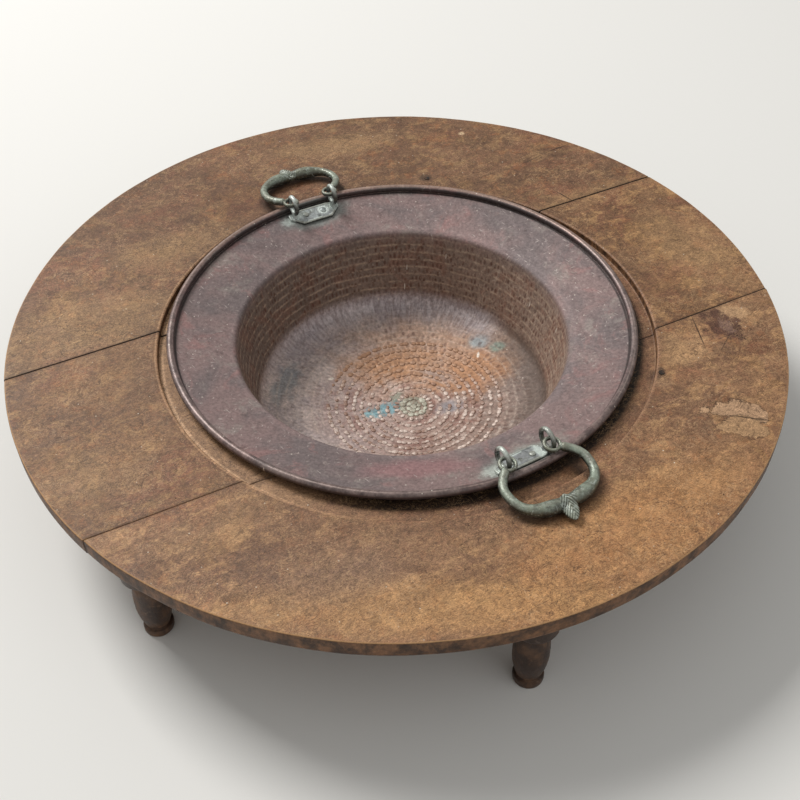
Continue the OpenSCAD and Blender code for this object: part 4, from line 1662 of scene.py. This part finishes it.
    def build_dots(self, line: list[LinePoint]) -> None:
        """Sets the rings of punched dots and the pebbled boss on the floor.

        Args:
            line: The sheet's middle line.
        """
        floor = [(point - normal * self.sheet / 2) for point, normal, zone in line if zone == "floor"]
        radii = np.array([p[0] for p in floor])
        heights = np.array([p[1] for p in floor])
        random = np.random.default_rng(5)
        dots, crown, boss = [], [], []
        for ring in self.dot_rings:
            count = int(tau * ring / self.dot_pitch)
            for index in range(count):
                turn = tau * (index + random.uniform(-0.22, 0.22)) / count + ring * 90
                if random.uniform() > 0.07:
                    dots.append((turn, ring + random.uniform(-0.0007, 0.0007)))
        for index in range(self.crown_count):
            stray = random.uniform(-0.0003, 0.0003)
            crown.append((tau * index / self.crown_count, self.crown_ring + stray))
        for ring, count in self.boss_rings:
            for index in range(count):
                boss.append((tau * (index + random.uniform(-0.12, 0.12)) / count + ring * 60,
                             ring + random.uniform(-0.0004, 0.0004) * (ring > 0)))
        rubbed = PunchedDot("rubbed_copper_dots").build()
        pale = PunchedDot("pale_green_pebbles", (204, 204, 188), (150, 146, 130)).build()
        for name, places, sizes, material, spin in (
                ("pan_floor_dots", dots, (0.0034, 0.0025, 0.0007), rubbed, 90.0),
                ("pan_floor_crown", crown, (0.0031, 0.0021, 0.0008), rubbed, 0.0),
                ("pan_floor_boss", boss, (0.0041, 0.0034, 0.0008), pale, 90.0)):
            turns = np.array([turn for turn, _ in places])
            reach = np.array([distance for _, distance in places])
            flat = np.stack([RINGS_CENTRE[0] + reach * np.cos(turns),
                             RINGS_CENTRE[1] + reach * np.sin(turns)], axis=1)
            away = np.hypot(flat[:, 0] - PAN_CENTRE[0], flat[:, 1] - PAN_CENTRE[1])
            z = np.interp(away, radii, heights)
            slope = (np.interp(away + 0.001, radii, heights) - z) / 0.001
            out_x = (flat[:, 0] - PAN_CENTRE[0]) / np.maximum(away, 1e-6)
            out_y = (flat[:, 1] - PAN_CENTRE[1]) / np.maximum(away, 1e-6)
            aims = np.stack([-slope * out_x, -slope * out_y, np.ones(len(flat))], axis=1)
            way = turns + radians(spin)
            alongs = np.stack([np.cos(way), np.sin(way), np.zeros(len(flat))], axis=1)
            bases = np.column_stack([flat, z + self.dot_lift])
            piece = StudField(name, *sizes).build(bases, aims, alongs, material)
            place_piece(piece, Body.PAN, Slot.COPPER)


# ---- The handles and their plates ----


@dataclass
class Handle:
    """A bail handle with its two eyes, and the plate and lugs that hold it."""

    label: str
    azimuth: float
    body: Body
    leaf_lean: float
    pivot_r: float = 0.2255
    pivot_z: float = 0.154
    lug_half: float = 0.0245
    lug_ring_r: float = 0.01
    lug_bar_r: float = 0.0023
    eye_ring_r: float = 0.0074
    eye_bar_r: float = 0.00185
    bail_bar_r: float = 0.0044
    swell_r: float = 0.0072
    swell_t: float = 0.018
    swell_taper: float = 0.014
    swell_end: float = 0.017
    collar_r: float = 0.0059
    collar_t: float = 0.008
    collar_pitch: float = 0.0026
    collar_w: float = 0.0015
    leaf_half: float = 0.008
    leaf_thick: float = 0.005
    leaf_in: float = 0.008
    leaf_out: float = 0.02
    vein_pitch: float = 0.0042
    rest_gap: float = 0.0003
    plate_t: float = 0.003
    plate_half: float = 0.031
    plate_flat: float = 0.018
    plate_in: float = 0.0145
    plate_out: float = 0.0075
    plate_gap: float = 0.0002
    voxel: float = 0.00045

    def cast(self, ending: str, shells: list[Shell], bronze: Material) -> Piece:
        """Casts several overlapping shells as one piece.

        Args:
            ending: What the piece's name ends in.
            shells: The closed shells.
            bronze: Material of the piece.

        Returns:
            The piece, in the handle's own plane.
        """
        points, faces, first = [], [], 0
        for shell_points, shell_faces in shells:
            points.append(shell_points)
            faces += [tuple(first + index for index in face) for face in shell_faces]
            first += len(shell_points)
        piece = mesh_object(self.label + ending, np.concatenate(points), faces, bronze)
        outward(piece)
        fuse(piece, self.voxel, 2)
        return piece

    def tube(self, rings: list[Array]) -> Shell:
        """Closes a row of rings into a tube.

        Args:
            rings: Rings with as many points each.

        Returns:
            Points and faces.
        """
        sides = len(rings[0])
        faces = grid_faces(len(rings), sides)
        faces.append(tuple(reversed(range(sides))))
        faces.append(tuple((len(rings) - 1) * sides + side for side in range(sides)))
        return np.concatenate(rings), faces

    def ring(self, middle: Array, first: Array, second: Array, sides: int = 28) -> Array:
        """Points round a middle, from two half axes."""
        turns = full_turn(sides)
        return middle + np.outer(np.cos(turns), first) + np.outer(np.sin(turns), second)

    def torus(self, middle: Array, across: Array, up: Array, radius: float, bar: float,
              squash: float = 1.0) -> Shell:
        """A closed ring of round bar.

        Args:
            middle: Centre.
            across: First direction in the ring's plane.
            up: Second direction in the ring's plane.
            radius: Radius to the bar's middle.
            bar: Radius of the bar.
            squash: Width of the bar across the plane, as a share.

        Returns:
            Points and faces.
        """
        axis = np.cross(across, up)
        steps, sides = 72, 20
        rings = []
        for turn in full_turn(steps):
            out = cos(turn) * across + sin(turn) * up
            rings.append(self.ring(middle + radius * out, bar * out, bar * squash * axis, sides))
        return np.concatenate(rings), grid_faces(steps, sides, True)

    def bar_start(self) -> Flat:
        """Place where the bar leaves its eye, as distance from the hinge and from the middle."""
        return (self.eye_ring_r * (1 + cos(pi / 4)), self.lug_half + self.eye_ring_r * sin(pi / 4))

    def bail_line(self) -> list[Flat]:
        """Middle line of the handle's bar, as distance from the hinge and from the middle.

        Returns:
            The points.
        """
        start, start_t = self.bar_start()
        half = []
        for share in np.linspace(0, 1, 26):
            half.append((start + (BAIL_WAIST - start) * share,
                         BAIL_HALF - (BAIL_HALF - start_t) * (1 - share) ** 2))
        for angle in np.radians(np.linspace(0, 90, 64))[1:]:
            half.append((BAIL_WAIST + (BAIL_REACH - BAIL_WAIST)
                         * sin(angle) ** (2 / BAIL_SQUARE),
                         BAIL_HALF * max(cos(angle), 0.0) ** (2 / BAIL_SQUARE)))
        return half + [(s, -t) for s, t in reversed(half[:-1])]

    def bar_radius(self, s: float, t: float) -> float:
        """Radius of the bar at a place on its middle line.

        Args:
            s: Distance from the hinge.
            t: Distance from the middle.

        Returns:
            The radius.
        """
        start, start_t = self.bar_start()
        grown = min(1.0, hypot(s - start, abs(t) - start_t) / 0.003)
        thin = self.eye_bar_r + 0.0002
        radius = thin + (self.bail_bar_r - thin) * sin(grown * pi / 2)
        if s > BAIL_WAIST:
            away = abs(t) - self.swell_t
            spread = self.swell_taper if away > 0 else self.swell_end
            radius += (self.swell_r - self.bail_bar_r) * exp(-((away / spread) ** 2))
        return radius

    def leaf_size(self, share: Array | float) -> tuple[Array | float, Array | float]:
        """Half width and half thickness of the leaf at a share of its length."""
        return (self.leaf_half * 2.134 * share**0.5 * (1 - share) ** 0.6,
                self.leaf_thick * 1.6 * share**0.35 * (1 - share) ** 0.55)

    def vein(self, s: Array, t: Array) -> Array:
        """Wave of the leaf's slanting veins, 1 on a vein and -1 between two."""
        return np.cos(tau * (s - 1.5 * np.abs(t)) / self.vein_pitch)

    def leaf(self) -> Shell:
        """The veined leaf in the middle of the cross bar.

        Returns:
            Points and faces.
        """
        rings = []
        length = self.leaf_in + self.leaf_out
        turns = full_turn(96)
        for share in np.linspace(0.015, 0.985, 64):
            half, thick = self.leaf_size(float(share))
            s = np.full(len(turns), BAIL_REACH - self.leaf_in + length * share)
            t = half * np.cos(turns)
            rib = 1 + 0.09 * self.vein(s, t) + 0.1 * np.exp(-((t / 0.0012) ** 2)) * np.abs(np.sin(turns))
            rings.append(np.stack([s, t * (1 + 0.05 * self.vein(s, t)) + self.leaf_lean * share,
                                   thick * np.sin(turns) * rib], axis=1))
        return self.tube(rings)

    def mark_veins(self, piece: Piece) -> None:
        """Stores the veins of the leaf as "vein", 0 away from the leaf.

        Args:
            piece: The handle.
        """
        s, t, _ = read(piece.data.vertices, "co", 3).T
        share = np.clip((s - BAIL_REACH + self.leaf_in) / (self.leaf_in + self.leaf_out), 0.001, 0.999)
        half, _ = self.leaf_size(share)
        t = t - self.leaf_lean * share
        on_leaf = (np.abs(t) < half + 0.0006) & (share > 0.02)
        set_attribute(piece, "vein", np.where(on_leaf, self.vein(s, t), 0.0))

    def rest_tilt(self) -> float:
        """Slope of the handle when its swellings lie on the wood, in radians.

        Returns:
            The slope.
        """
        share = (self.swell_t / BAIL_HALF) ** BAIL_SQUARE
        swell_s = BAIL_WAIST + (BAIL_REACH - BAIL_WAIST) * (1 - share) ** (1 / BAIL_SQUARE)
        return asin((self.pivot_z - TOP_Z - self.swell_r - self.rest_gap) / swell_s)

    def to_world(self, tilt: float) -> Matrix:
        """Matrix from the handle's own plane, hinge at 0, to the frame.

        Args:
            tilt: Slope of the handle, in radians.

        Returns:
            The matrix.
        """
        turn = Matrix.Rotation(radians(self.azimuth), 4, "Z")
        out = Matrix.Translation((self.pivot_r, 0, self.pivot_z))
        return Matrix.Translation((*PAN_CENTRE, 0)) @ turn @ out @ Matrix.Rotation(tilt, 4, "Y")

    def build_bail(self, bronze: Material) -> None:
        """Builds the handle and places it.

        Args:
            bronze: Its material.
        """
        x, y, z = np.eye(3)
        groups = [self.torus(np.array([self.eye_ring_r, side * self.lug_half, 0.0]), x, y, self.eye_ring_r,
                             self.eye_bar_r, 1.35) for side in (-1, 1)]
        line = self.bail_line()
        rings = []
        for index, (s, t) in enumerate(line):
            before, after = line[max(index - 1, 0)], line[min(index + 1, len(line) - 1)]
            heading = np.array([after[0] - before[0], after[1] - before[1], 0.0])
            heading /= np.linalg.norm(heading)
            side = np.cross(z, heading)
            radius = self.bar_radius(s, t)
            rings.append(self.ring(np.array([s, t, 0.0]), side * radius, z * radius))
        groups.append(self.tube(rings))
        for side in (-1, 1):
            for step in (0, 1):
                middle = np.array([BAIL_REACH, side * (self.collar_t + step * self.collar_pitch), 0.0])
                rounds = []
                for offset, share in ((-0.5, 0.78), (-0.3, 0.96), (0.0, 1.04), (0.3, 0.96), (0.5, 0.78)):
                    rounds.append(self.ring(middle + y * offset * self.collar_w, z * self.collar_r * share,
                                            x * self.collar_r * share, 40))
                groups.append(self.tube(rounds))
        groups.append(self.leaf())
        piece = self.cast("_handle_cast", groups, bronze)
        self.mark_veins(piece)
        piece.data.transform(self.to_world(self.rest_tilt()))
        mark_hollows(piece)
        place_piece(piece, self.body, Slot.BRONZE, self.label + "_handle")

    def build_plate(self, pan: CopperPan, bronze: Material) -> None:
        """Builds the six-sided plate with its lugs and places it.

        Args:
            pan: The pan that it sits on.
            bronze: Its material.
        """
        slope = radians(pan.flange_slope)
        up = np.array([-sin(slope), 0.0, cos(slope)])
        out = np.array([cos(slope), 0.0, sin(slope)])
        y, z = np.array([0.0, 1.0, 0.0]), np.array([0.0, 0.0, 1.0])
        foot_z = pan.flange_z(self.pivot_r) + pan.sheet / 2 / cos(slope) - self.pivot_z
        outline = [(-self.plate_in, -self.plate_flat), (-0.003, -self.plate_half),
                   (self.plate_out - 0.004, -self.plate_half), (self.plate_out, -self.plate_flat),
                   (self.plate_out, self.plate_flat), (self.plate_out - 0.004, self.plate_half),
                   (-0.003, self.plate_half), (-self.plate_in, self.plate_flat)]
        middle = (self.plate_out - self.plate_in) / 2
        half_r = (self.plate_out + self.plate_in) / 2
        rings = []
        top = self.plate_t
        for height, inset in ((0.0, 0.0003), (0.0006, 0.0), (top - 0.0008, 0.0),
                              (top, 0.0007), (top, 0.0022), (top - 0.0006, 0.0029)):
            row = []
            for a, b in outline:
                r = middle + (a - middle) * (1 - inset / half_r)
                t = b * (1 - inset / self.plate_half)
                ahead = self.pivot_r + r * cos(slope)
                bend = (hypot(ahead, t) - ahead) * tan(slope)
                ground = np.array([0.0, 0.0, foot_z + self.plate_gap + bend])
                row.append(ground + r * out + t * y + height * up)
            rings.append(np.array(row))
        groups = [self.tube(rings)]
        for side in (-1, 1):
            hole = y * side * self.lug_half
            x = np.array([1.0, 0.0, 0.0])
            groups.append(self.torus(hole, x, z, self.lug_ring_r, self.lug_bar_r, 1.1))
            block = []
            foot_height = foot_z + self.plate_t * 0.6
            for share, length, width in ((0.0, 0.0064, 0.0034), (0.4, 0.005, 0.0027), (1.0, 0.0034, 0.0021)):
                level = foot_height + share * (-self.lug_ring_r - foot_height)
                block.append(self.ring(hole + z * level, x * length, y * width, 24))
            groups.append(self.tube(block))
        piece = self.cast("_plate_cast", groups, bronze)
        piece.data.transform(self.to_world(0.0))
        mark_hollows(piece)
        place_piece(piece, Body.PAN, Slot.BRONZE, self.label + "_plate")

    def build(self, pan: CopperPan, bronze: Material, plate_bronze: Material) -> None:
        """Builds the handle, its plate and the looks of its rivets.

        Args:
            pan: The pan that they sit on.
            bronze: Material of the handle.
            plate_bronze: Material of the plate and rivets.
        """
        self.build_bail(bronze)
        self.build_plate(pan, plate_bronze)
        dress_node(self.label + "_rivets", plate_bronze)


# ---- Studio ----


@dataclass
class Studio:
    """Pale floor, soft light and the camera at the photograph's viewing angle."""

    target: Place = (0.0047, -0.1258, 0.14)
    camera_place: Place = (0.0047, -0.8828, 0.8967)
    roll: float = -0.659
    focal_px: float = 1100.0
    floor_tint: Colour = (232, 232, 230)
    world_tint: Colour = (239, 237, 233)
    world_strength: float = 0.45
    key_watts: float = 290.0
    fill_watts: float = 5.0

    def camera(self) -> None:
        """Adds the camera."""
        data = bpy.data.cameras.new("camera")
        data.sensor_width = 36.0
        data.sensor_fit = "HORIZONTAL"
        data.lens = self.focal_px / IMAGE_SIZE * data.sensor_width
        data.clip_start = 0.01
        item = bpy.data.objects.new("camera", data)
        bpy.context.scene.collection.objects.link(item)
        look = Vector(self.target) - Vector(self.camera_place)
        turn = look.to_track_quat("-Z", "Y").to_matrix().to_4x4()
        roll = Matrix.Rotation(radians(self.roll), 4, "Z")
        item.matrix_world = Matrix.Translation(self.camera_place) @ turn @ roll
        bpy.context.scene.camera = item

    def lamp(self, name: str, place: Place, size: float, watts: float, tint: Place) -> None:
        """Adds a square soft lamp that faces the object.

        Args:
            name: Name of the lamp.
            place: Where it stands.
            size: Length of its side.
            watts: Its power.
            tint: Its colour.
        """
        data = bpy.data.lights.new(name, "AREA")
        data.shape = "SQUARE"
        data.size = size
        data.energy = watts
        data.color = tint
        item = bpy.data.objects.new(name, data)
        item.location = place
        item.rotation_euler = (Vector((0, 0, 0.1)) - Vector(place)).to_track_quat("-Z", "Y").to_euler()
        bpy.context.scene.collection.objects.link(item)

    def floor(self) -> None:
        """Adds the pale floor."""
        half = 6.0
        material = Paint("pale_floor").finish(linear(self.floor_tint), 0.8, 0.0, None, 0.0, 0.2)
        corners = np.array([[-half, -half, 0], [half, -half, 0], [half, half, 0], [-half, half, 0]])
        piece = mesh_object("floor", corners, [(0, 1, 2, 3)], material, False)

    def build(self) -> None:
        """Builds the whole studio."""
        scene = bpy.context.scene
        scene.view_settings.view_transform = "Standard"
        world = bpy.data.worlds.new("studio")
        world.use_nodes = True
        background = world.node_tree.nodes["Background"]
        background.inputs["Color"].default_value = linear(self.world_tint)
        background.inputs["Strength"].default_value = self.world_strength
        scene.world = world
        self.camera()
        self.lamp("window", (-3.0, 2.6, 4.4), 2.2, self.key_watts, (1.0, 0.98, 0.95))
        self.lamp("room", (1.4, -1.3, 1.7), 1.8, self.fill_watts, (0.96, 0.98, 1.0))
        self.floor()


# ---- The object's own finishes ----

FLOOR_PATCHES = (
    Patch(0.04, 0.072, 0.098, 0.06, 4.0, (198, 158, 126), 0.6, 0.5, 2.0, 34.0),
    Patch(0.085, 0.038, 0.046, 0.03, 20.0, (184, 132, 88), 0.6, 0.5, 2.2, 60.0),
    Patch(0.0, 0.055, 0.045, 0.022, 12.0, (192, 140, 94), 0.55, 0.5, 2.2, 60.0),
    Patch(-0.0123, -0.0124, 0.023, 0.0095, 24.0, (122, 166, 176), 0.85, 0.4, 2.6, 170.0),
    Patch(-0.0283, -0.0204, 0.008, 0.005, 10.0, (142, 180, 186), 0.8, 0.3, 1.6, 200.0),
    Patch(-0.0003, 0.0086, 0.01, 0.006, 60.0, (126, 152, 136), 0.5, 0.4, 1.4, 140.0),
    Patch(0.0203, -0.0081, 0.017, 0.016, 0.0, (128, 122, 104), 0.6, 0.4, 0.6, 90.0),
    Patch(0.0617, -0.0114, 0.016, 0.01, 30.0, (146, 152, 162), 0.6, 0.5, 1.3, 120.0),
    Patch(0.05, 0.038, 0.022, 0.008, -20.0, (164, 152, 150), 0.55, 0.5, 1.3, 110.0),
    Patch(0.0977, 0.0826, 0.012, 0.009, 0.0, (150, 172, 180), 0.75, 0.5, 1.2, 110.0),
    Patch(0.1197, 0.0716, 0.009, 0.007, 0.0, (140, 170, 158), 0.75, 0.5, 1.2, 110.0),
    Patch(-0.1239, 0.0153, 0.03, 0.012, 70.0, (132, 146, 152), 0.6, 0.5, 2.4, 70.0),
    Patch(-0.0743, 0.0309, 0.0032, 0.0018, 20.0, (232, 222, 210), 1.0, 0.3, 1.0, 300.0),
    Patch(0.0966, 0.0636, 0.0042, 0.0014, 80.0, (236, 226, 214), 1.0, 0.3, 1.0, 300.0),
)

FLANGE_PATCHES = (
    Patch(0.1171, -0.2013, 0.041, 0.017, 29.5, (150, 158, 152), 0.75, 0.3, 0.8, 90.0),
    Patch(-0.093, 0.1897, 0.041, 0.018, 27.0, (146, 154, 150), 0.75, 0.3, 0.8, 90.0),
    Patch(0.0905, -0.2150, 0.012, 0.006, 20.0, (204, 212, 204), 0.65, 0.5, 2.4, 220.0),
    Patch(-0.1204, 0.1760, 0.010, 0.005, 27.0, (206, 216, 210), 0.6, 0.5, 2.4, 220.0),
    Patch(0.02, -0.206, 0.05, 0.012, 5.0, (158, 116, 118), 0.6, 0.5, 0.8, 40.0),
    Patch(-0.035, -0.19, 0.03, 0.01, -8.0, (118, 104, 104), 0.5, 0.5, 0.8, 60.0),
)

PLATE_PATCHES = (
    Patch(0.1345, -0.1955, 0.0035, 0.011, 30.0, (216, 228, 222), 0.85, 0.4, 2.4, 260.0),
    Patch(0.0975, -0.2165, 0.010, 0.006, 30.0, (206, 216, 208), 0.6, 0.4, 2.4, 260.0),
    Patch(-0.1164, 0.1817, 0.011, 0.007, 27.0, (216, 226, 222), 0.75, 0.4, 2.4, 260.0),
    Patch(-0.0728, 0.2039, 0.008, 0.007, 27.0, (206, 218, 212), 0.6, 0.4, 2.4, 260.0),
    Patch(-0.0839, 0.1960, 0.0066, 0.0062, 0.0, (220, 230, 226), 0.9, 0.2, 1.2, 260.0),
    Patch(-0.0839, 0.1960, 0.0036, 0.0034, 0.0, (122, 130, 132), 0.9, 0.3, 0.8, 260.0),
)

OAK_LIGHT = (160, 128, 92)
OAK_PALE = (190, 154, 110)
OAK_BURNT = (86, 60, 46)
OAK_CRACK = (40, 27, 20)

BACK_PATCHES = (
    Patch(-0.3173, -0.0104, 0.11, 0.045, GRAIN, OAK_PALE, 0.28),
    Patch(-0.2503, 0.1186, 0.07, 0.03, GRAIN, OAK_LIGHT, 0.45),
    Patch(0.2177, 0.1786, 0.1, 0.04, GRAIN, OAK_PALE, 0.5),
    Patch(-0.2703, 0.1766, 0.06, 0.03, GRAIN, OAK_BURNT, 0.4),
    Patch(-0.1503, 0.2116, 0.06, 0.03, 10.0, (104, 66, 48), 0.45),
    Patch(-0.0703, 0.3316, 0.07, 0.022, 15.0, OAK_LIGHT, 0.5),
    Patch(-0.0463, 0.2296, 0.055, 0.022, 24.0, OAK_BURNT, 0.6),
    Patch(0.203, 0.2161, 0.0175, 0.0007, 130.0, OAK_CRACK, 1.0, 0.5, 0.5, 90.0),
    Patch(0.2077, 0.3206, 0.0145, 0.0007, 30.0, OAK_CRACK, 1.0, 0.5, 0.5, 90.0),
    Patch(0.1757, 0.2976, 0.024, 0.0005, 38.0, OAK_CRACK, 0.8, 0.5, 0.5, 90.0),
    Patch(0.1257, 0.2676, 0.03, 0.0005, 27.0, OAK_CRACK, 0.5, 0.5, 0.5, 90.0),
    Patch(0.0393, 0.2575, 0.0075, 0.0075, 0.0, (58, 44, 36), 0.75, 0.3, 0.4, 200.0),
    Patch(0.0873, 0.3571, 0.004, 0.0035, 0.0, (204, 176, 142), 0.9, 0.3, 0.9, 300.0),
)

LEFT_PATCHES = (
    Patch(-0.2753, -0.2184, 0.05, 0.03, 0.0, OAK_LIGHT, 0.4),
    Patch(-0.2603, -0.0834, 0.035, 0.05, GRAIN, OAK_BURNT, 0.3),
)

RIGHT_PATCHES = (
    Patch(0.3347, 0.1266, 0.04, 0.06, GRAIN, OAK_LIGHT, 0.45),
    Patch(0.2784, 0.0546, 0.03, 0.05, GRAIN, OAK_BURNT, 0.3),
)

FRONT_PATCHES = (
    Patch(0.2, -0.29, 0.14, 0.045, 35.0, (190, 140, 90), 0.5),
    Patch(0.2931, -0.0571, 0.03, 0.024, 20.0, (190, 152, 112), 0.6, 0.5, 2.2, 60.0),
    Patch(0.3545, 0.0, 0.018, 0.012, 20.0, (196, 160, 122), 0.6, 0.4, 2.4, 90.0),
    Patch(0.3688, -0.0554, 0.016, 0.012, 10.0, (112, 70, 50), 0.65, 0.5, 1.8, 90.0),
    Patch(0.3431, -0.0205, 0.016, 0.023, 20.0, (80, 52, 44), 0.85, 0.3, 3.0, 120.0),
    Patch(0.3451, -0.0225, 0.007, 0.011, 20.0, (128, 100, 88), 0.85, 0.35, 2.0, 160.0),
    Patch(0.3142, -0.0302, 0.026, 0.0007, 95.0, OAK_CRACK, 0.9, 0.5, 0.6, 120.0),
    Patch(0.3392, -0.0462, 0.012, 0.0006, 60.0, OAK_CRACK, 0.8, 0.5, 0.6, 160.0),
    Patch(0.3542, -0.0382, 0.011, 0.0006, 140.0, OAK_CRACK, 0.8, 0.5, 0.6, 160.0),
    Patch(0.2617, -0.0888, 0.0072, 0.0072, 0.0, (50, 40, 34), 0.8, 0.3, 0.4, 200.0),
    Patch(0.2627, -0.1038, 0.012, 0.009, 0.0, (152, 124, 98), 0.5, 0.5, 0.8, 90.0),
    Patch(0.2597, -0.0908, 0.0085, 0.0075, 0.0, (66, 46, 36), 0.75, 0.3, 2.0, 160.0),
    Patch(-0.0703, -0.3254, 0.07, 0.03, 10.0, (134, 104, 84), 0.45),
    Patch(0.2687, -0.0275, 0.006, 0.003, 30.0, OAK_BURNT, 0.7, 0.4, 0.8, 160.0),
    Patch(0.3324, -0.1445, 0.0305, 0.0145, 2.0, OAK_CRACK, 0.7, 0.08, 2.6, 60.0),
    Patch(0.3324, -0.1445, 0.0282, 0.0128, 2.0, (180, 145, 114), 0.92, 0.06, 2.6, 60.0),
    Patch(0.3294, -0.1663, 0.025, 0.013, -6.0, OAK_CRACK, 0.5, 0.08, 2.6, 70.0),
    Patch(0.3294, -0.1663, 0.0232, 0.0114, -6.0, (176, 140, 104), 0.88, 0.06, 2.6, 70.0),
    Patch(0.3394, -0.1553, 0.018, 0.001, -12.0, OAK_CRACK, 0.85, 0.5, 2.0, 120.0),
    Patch(0.0397, -0.3654, 0.2, 0.026, 0.0, (186, 142, 94), 0.5),
    Patch(0.0297, -0.2954, 0.1, 0.03, 20.0, (118, 90, 72), 0.4),
    Patch(-0.0903, -0.3034, 0.05, 0.022, GRAIN, OAK_BURNT, 0.3),
    Patch(-0.1503, -0.2734, 0.06, 0.025, GRAIN, OAK_LIGHT, 0.25),
    Patch(-0.0472, -0.338, 0.05, 0.024, 20.0, (130, 104, 86), 0.4),
)


def oak_planks() -> list[Plank]:
    """Lists the four planks with their places, slips and wear.

    Returns:
        The planks.
    """
    gap = 0.00015
    back, front = BACK_SEAM, FRONT_SEAM
    return [
        Plank("plank_back", 0.0009, back + gap, 1.0, -1.0, 1.0, 21, 0.0, OakTop(
            "oak_back", 0.3, (122, 90, 68), (150, 118, 84), (100, 73, 55),
            BACK_PATCHES, (PaintedHandleShadow(-0.0936, 0.1898, BACK_AZIMUTH),))),
        Plank("plank_left", 0.0016, front + gap, back - gap, -1.0, 0.0, 22, 0.0003, OakTop(
            "oak_left", 1.7, (138, 103, 73), (162, 126, 88), (112, 82, 61),
            LEFT_PATCHES)),
        Plank("plank_right", 0.0016, front + gap, back - gap, 0.0, 1.0, 23, 0.0004, OakTop(
            "oak_right", 2.9, (142, 108, 78), (176, 136, 94), (108, 78, 56),
            RIGHT_PATCHES)),
        Plank("plank_front", 0.0021, -1.0, front - gap, -1.0, 1.0, 24, 0.0, OakTop(
            "oak_front", 4.1, (152, 114, 83), (180, 140, 100), (124, 92, 70),
            FRONT_PATCHES, (PaintedHandleShadow(0.1198, -0.2074, FRONT_AZIMUTH),))),
    ]


def main() -> None:
    """Builds the studio and the brazier's pieces in order."""
    logging.basicConfig(level=logging.INFO, format="%(message)s")
    Studio().build()
    WoodenStand(oak_planks()).build()
    pan = CopperPan()
    pan.build()
    dress_node("rim_wire", ForgedIron("forged_iron_wire").build())
    bronze = AgedBronze("verdigris_bronze").build()
    grey_bronze = AgedBronze("grey_plate_bronze", (140, 143, 145), (160, 167, 168),
                             patches=PLATE_PATCHES).build()
    Handle("front", FRONT_AZIMUTH, Body.FRONT_HANDLE, -0.004).build(pan, bronze, grey_bronze)
    Handle("back", BACK_AZIMUTH, Body.BACK_HANDLE, 0.004).build(pan, bronze, grey_bronze)


if __name__ == "__main__":
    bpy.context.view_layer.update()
    main()
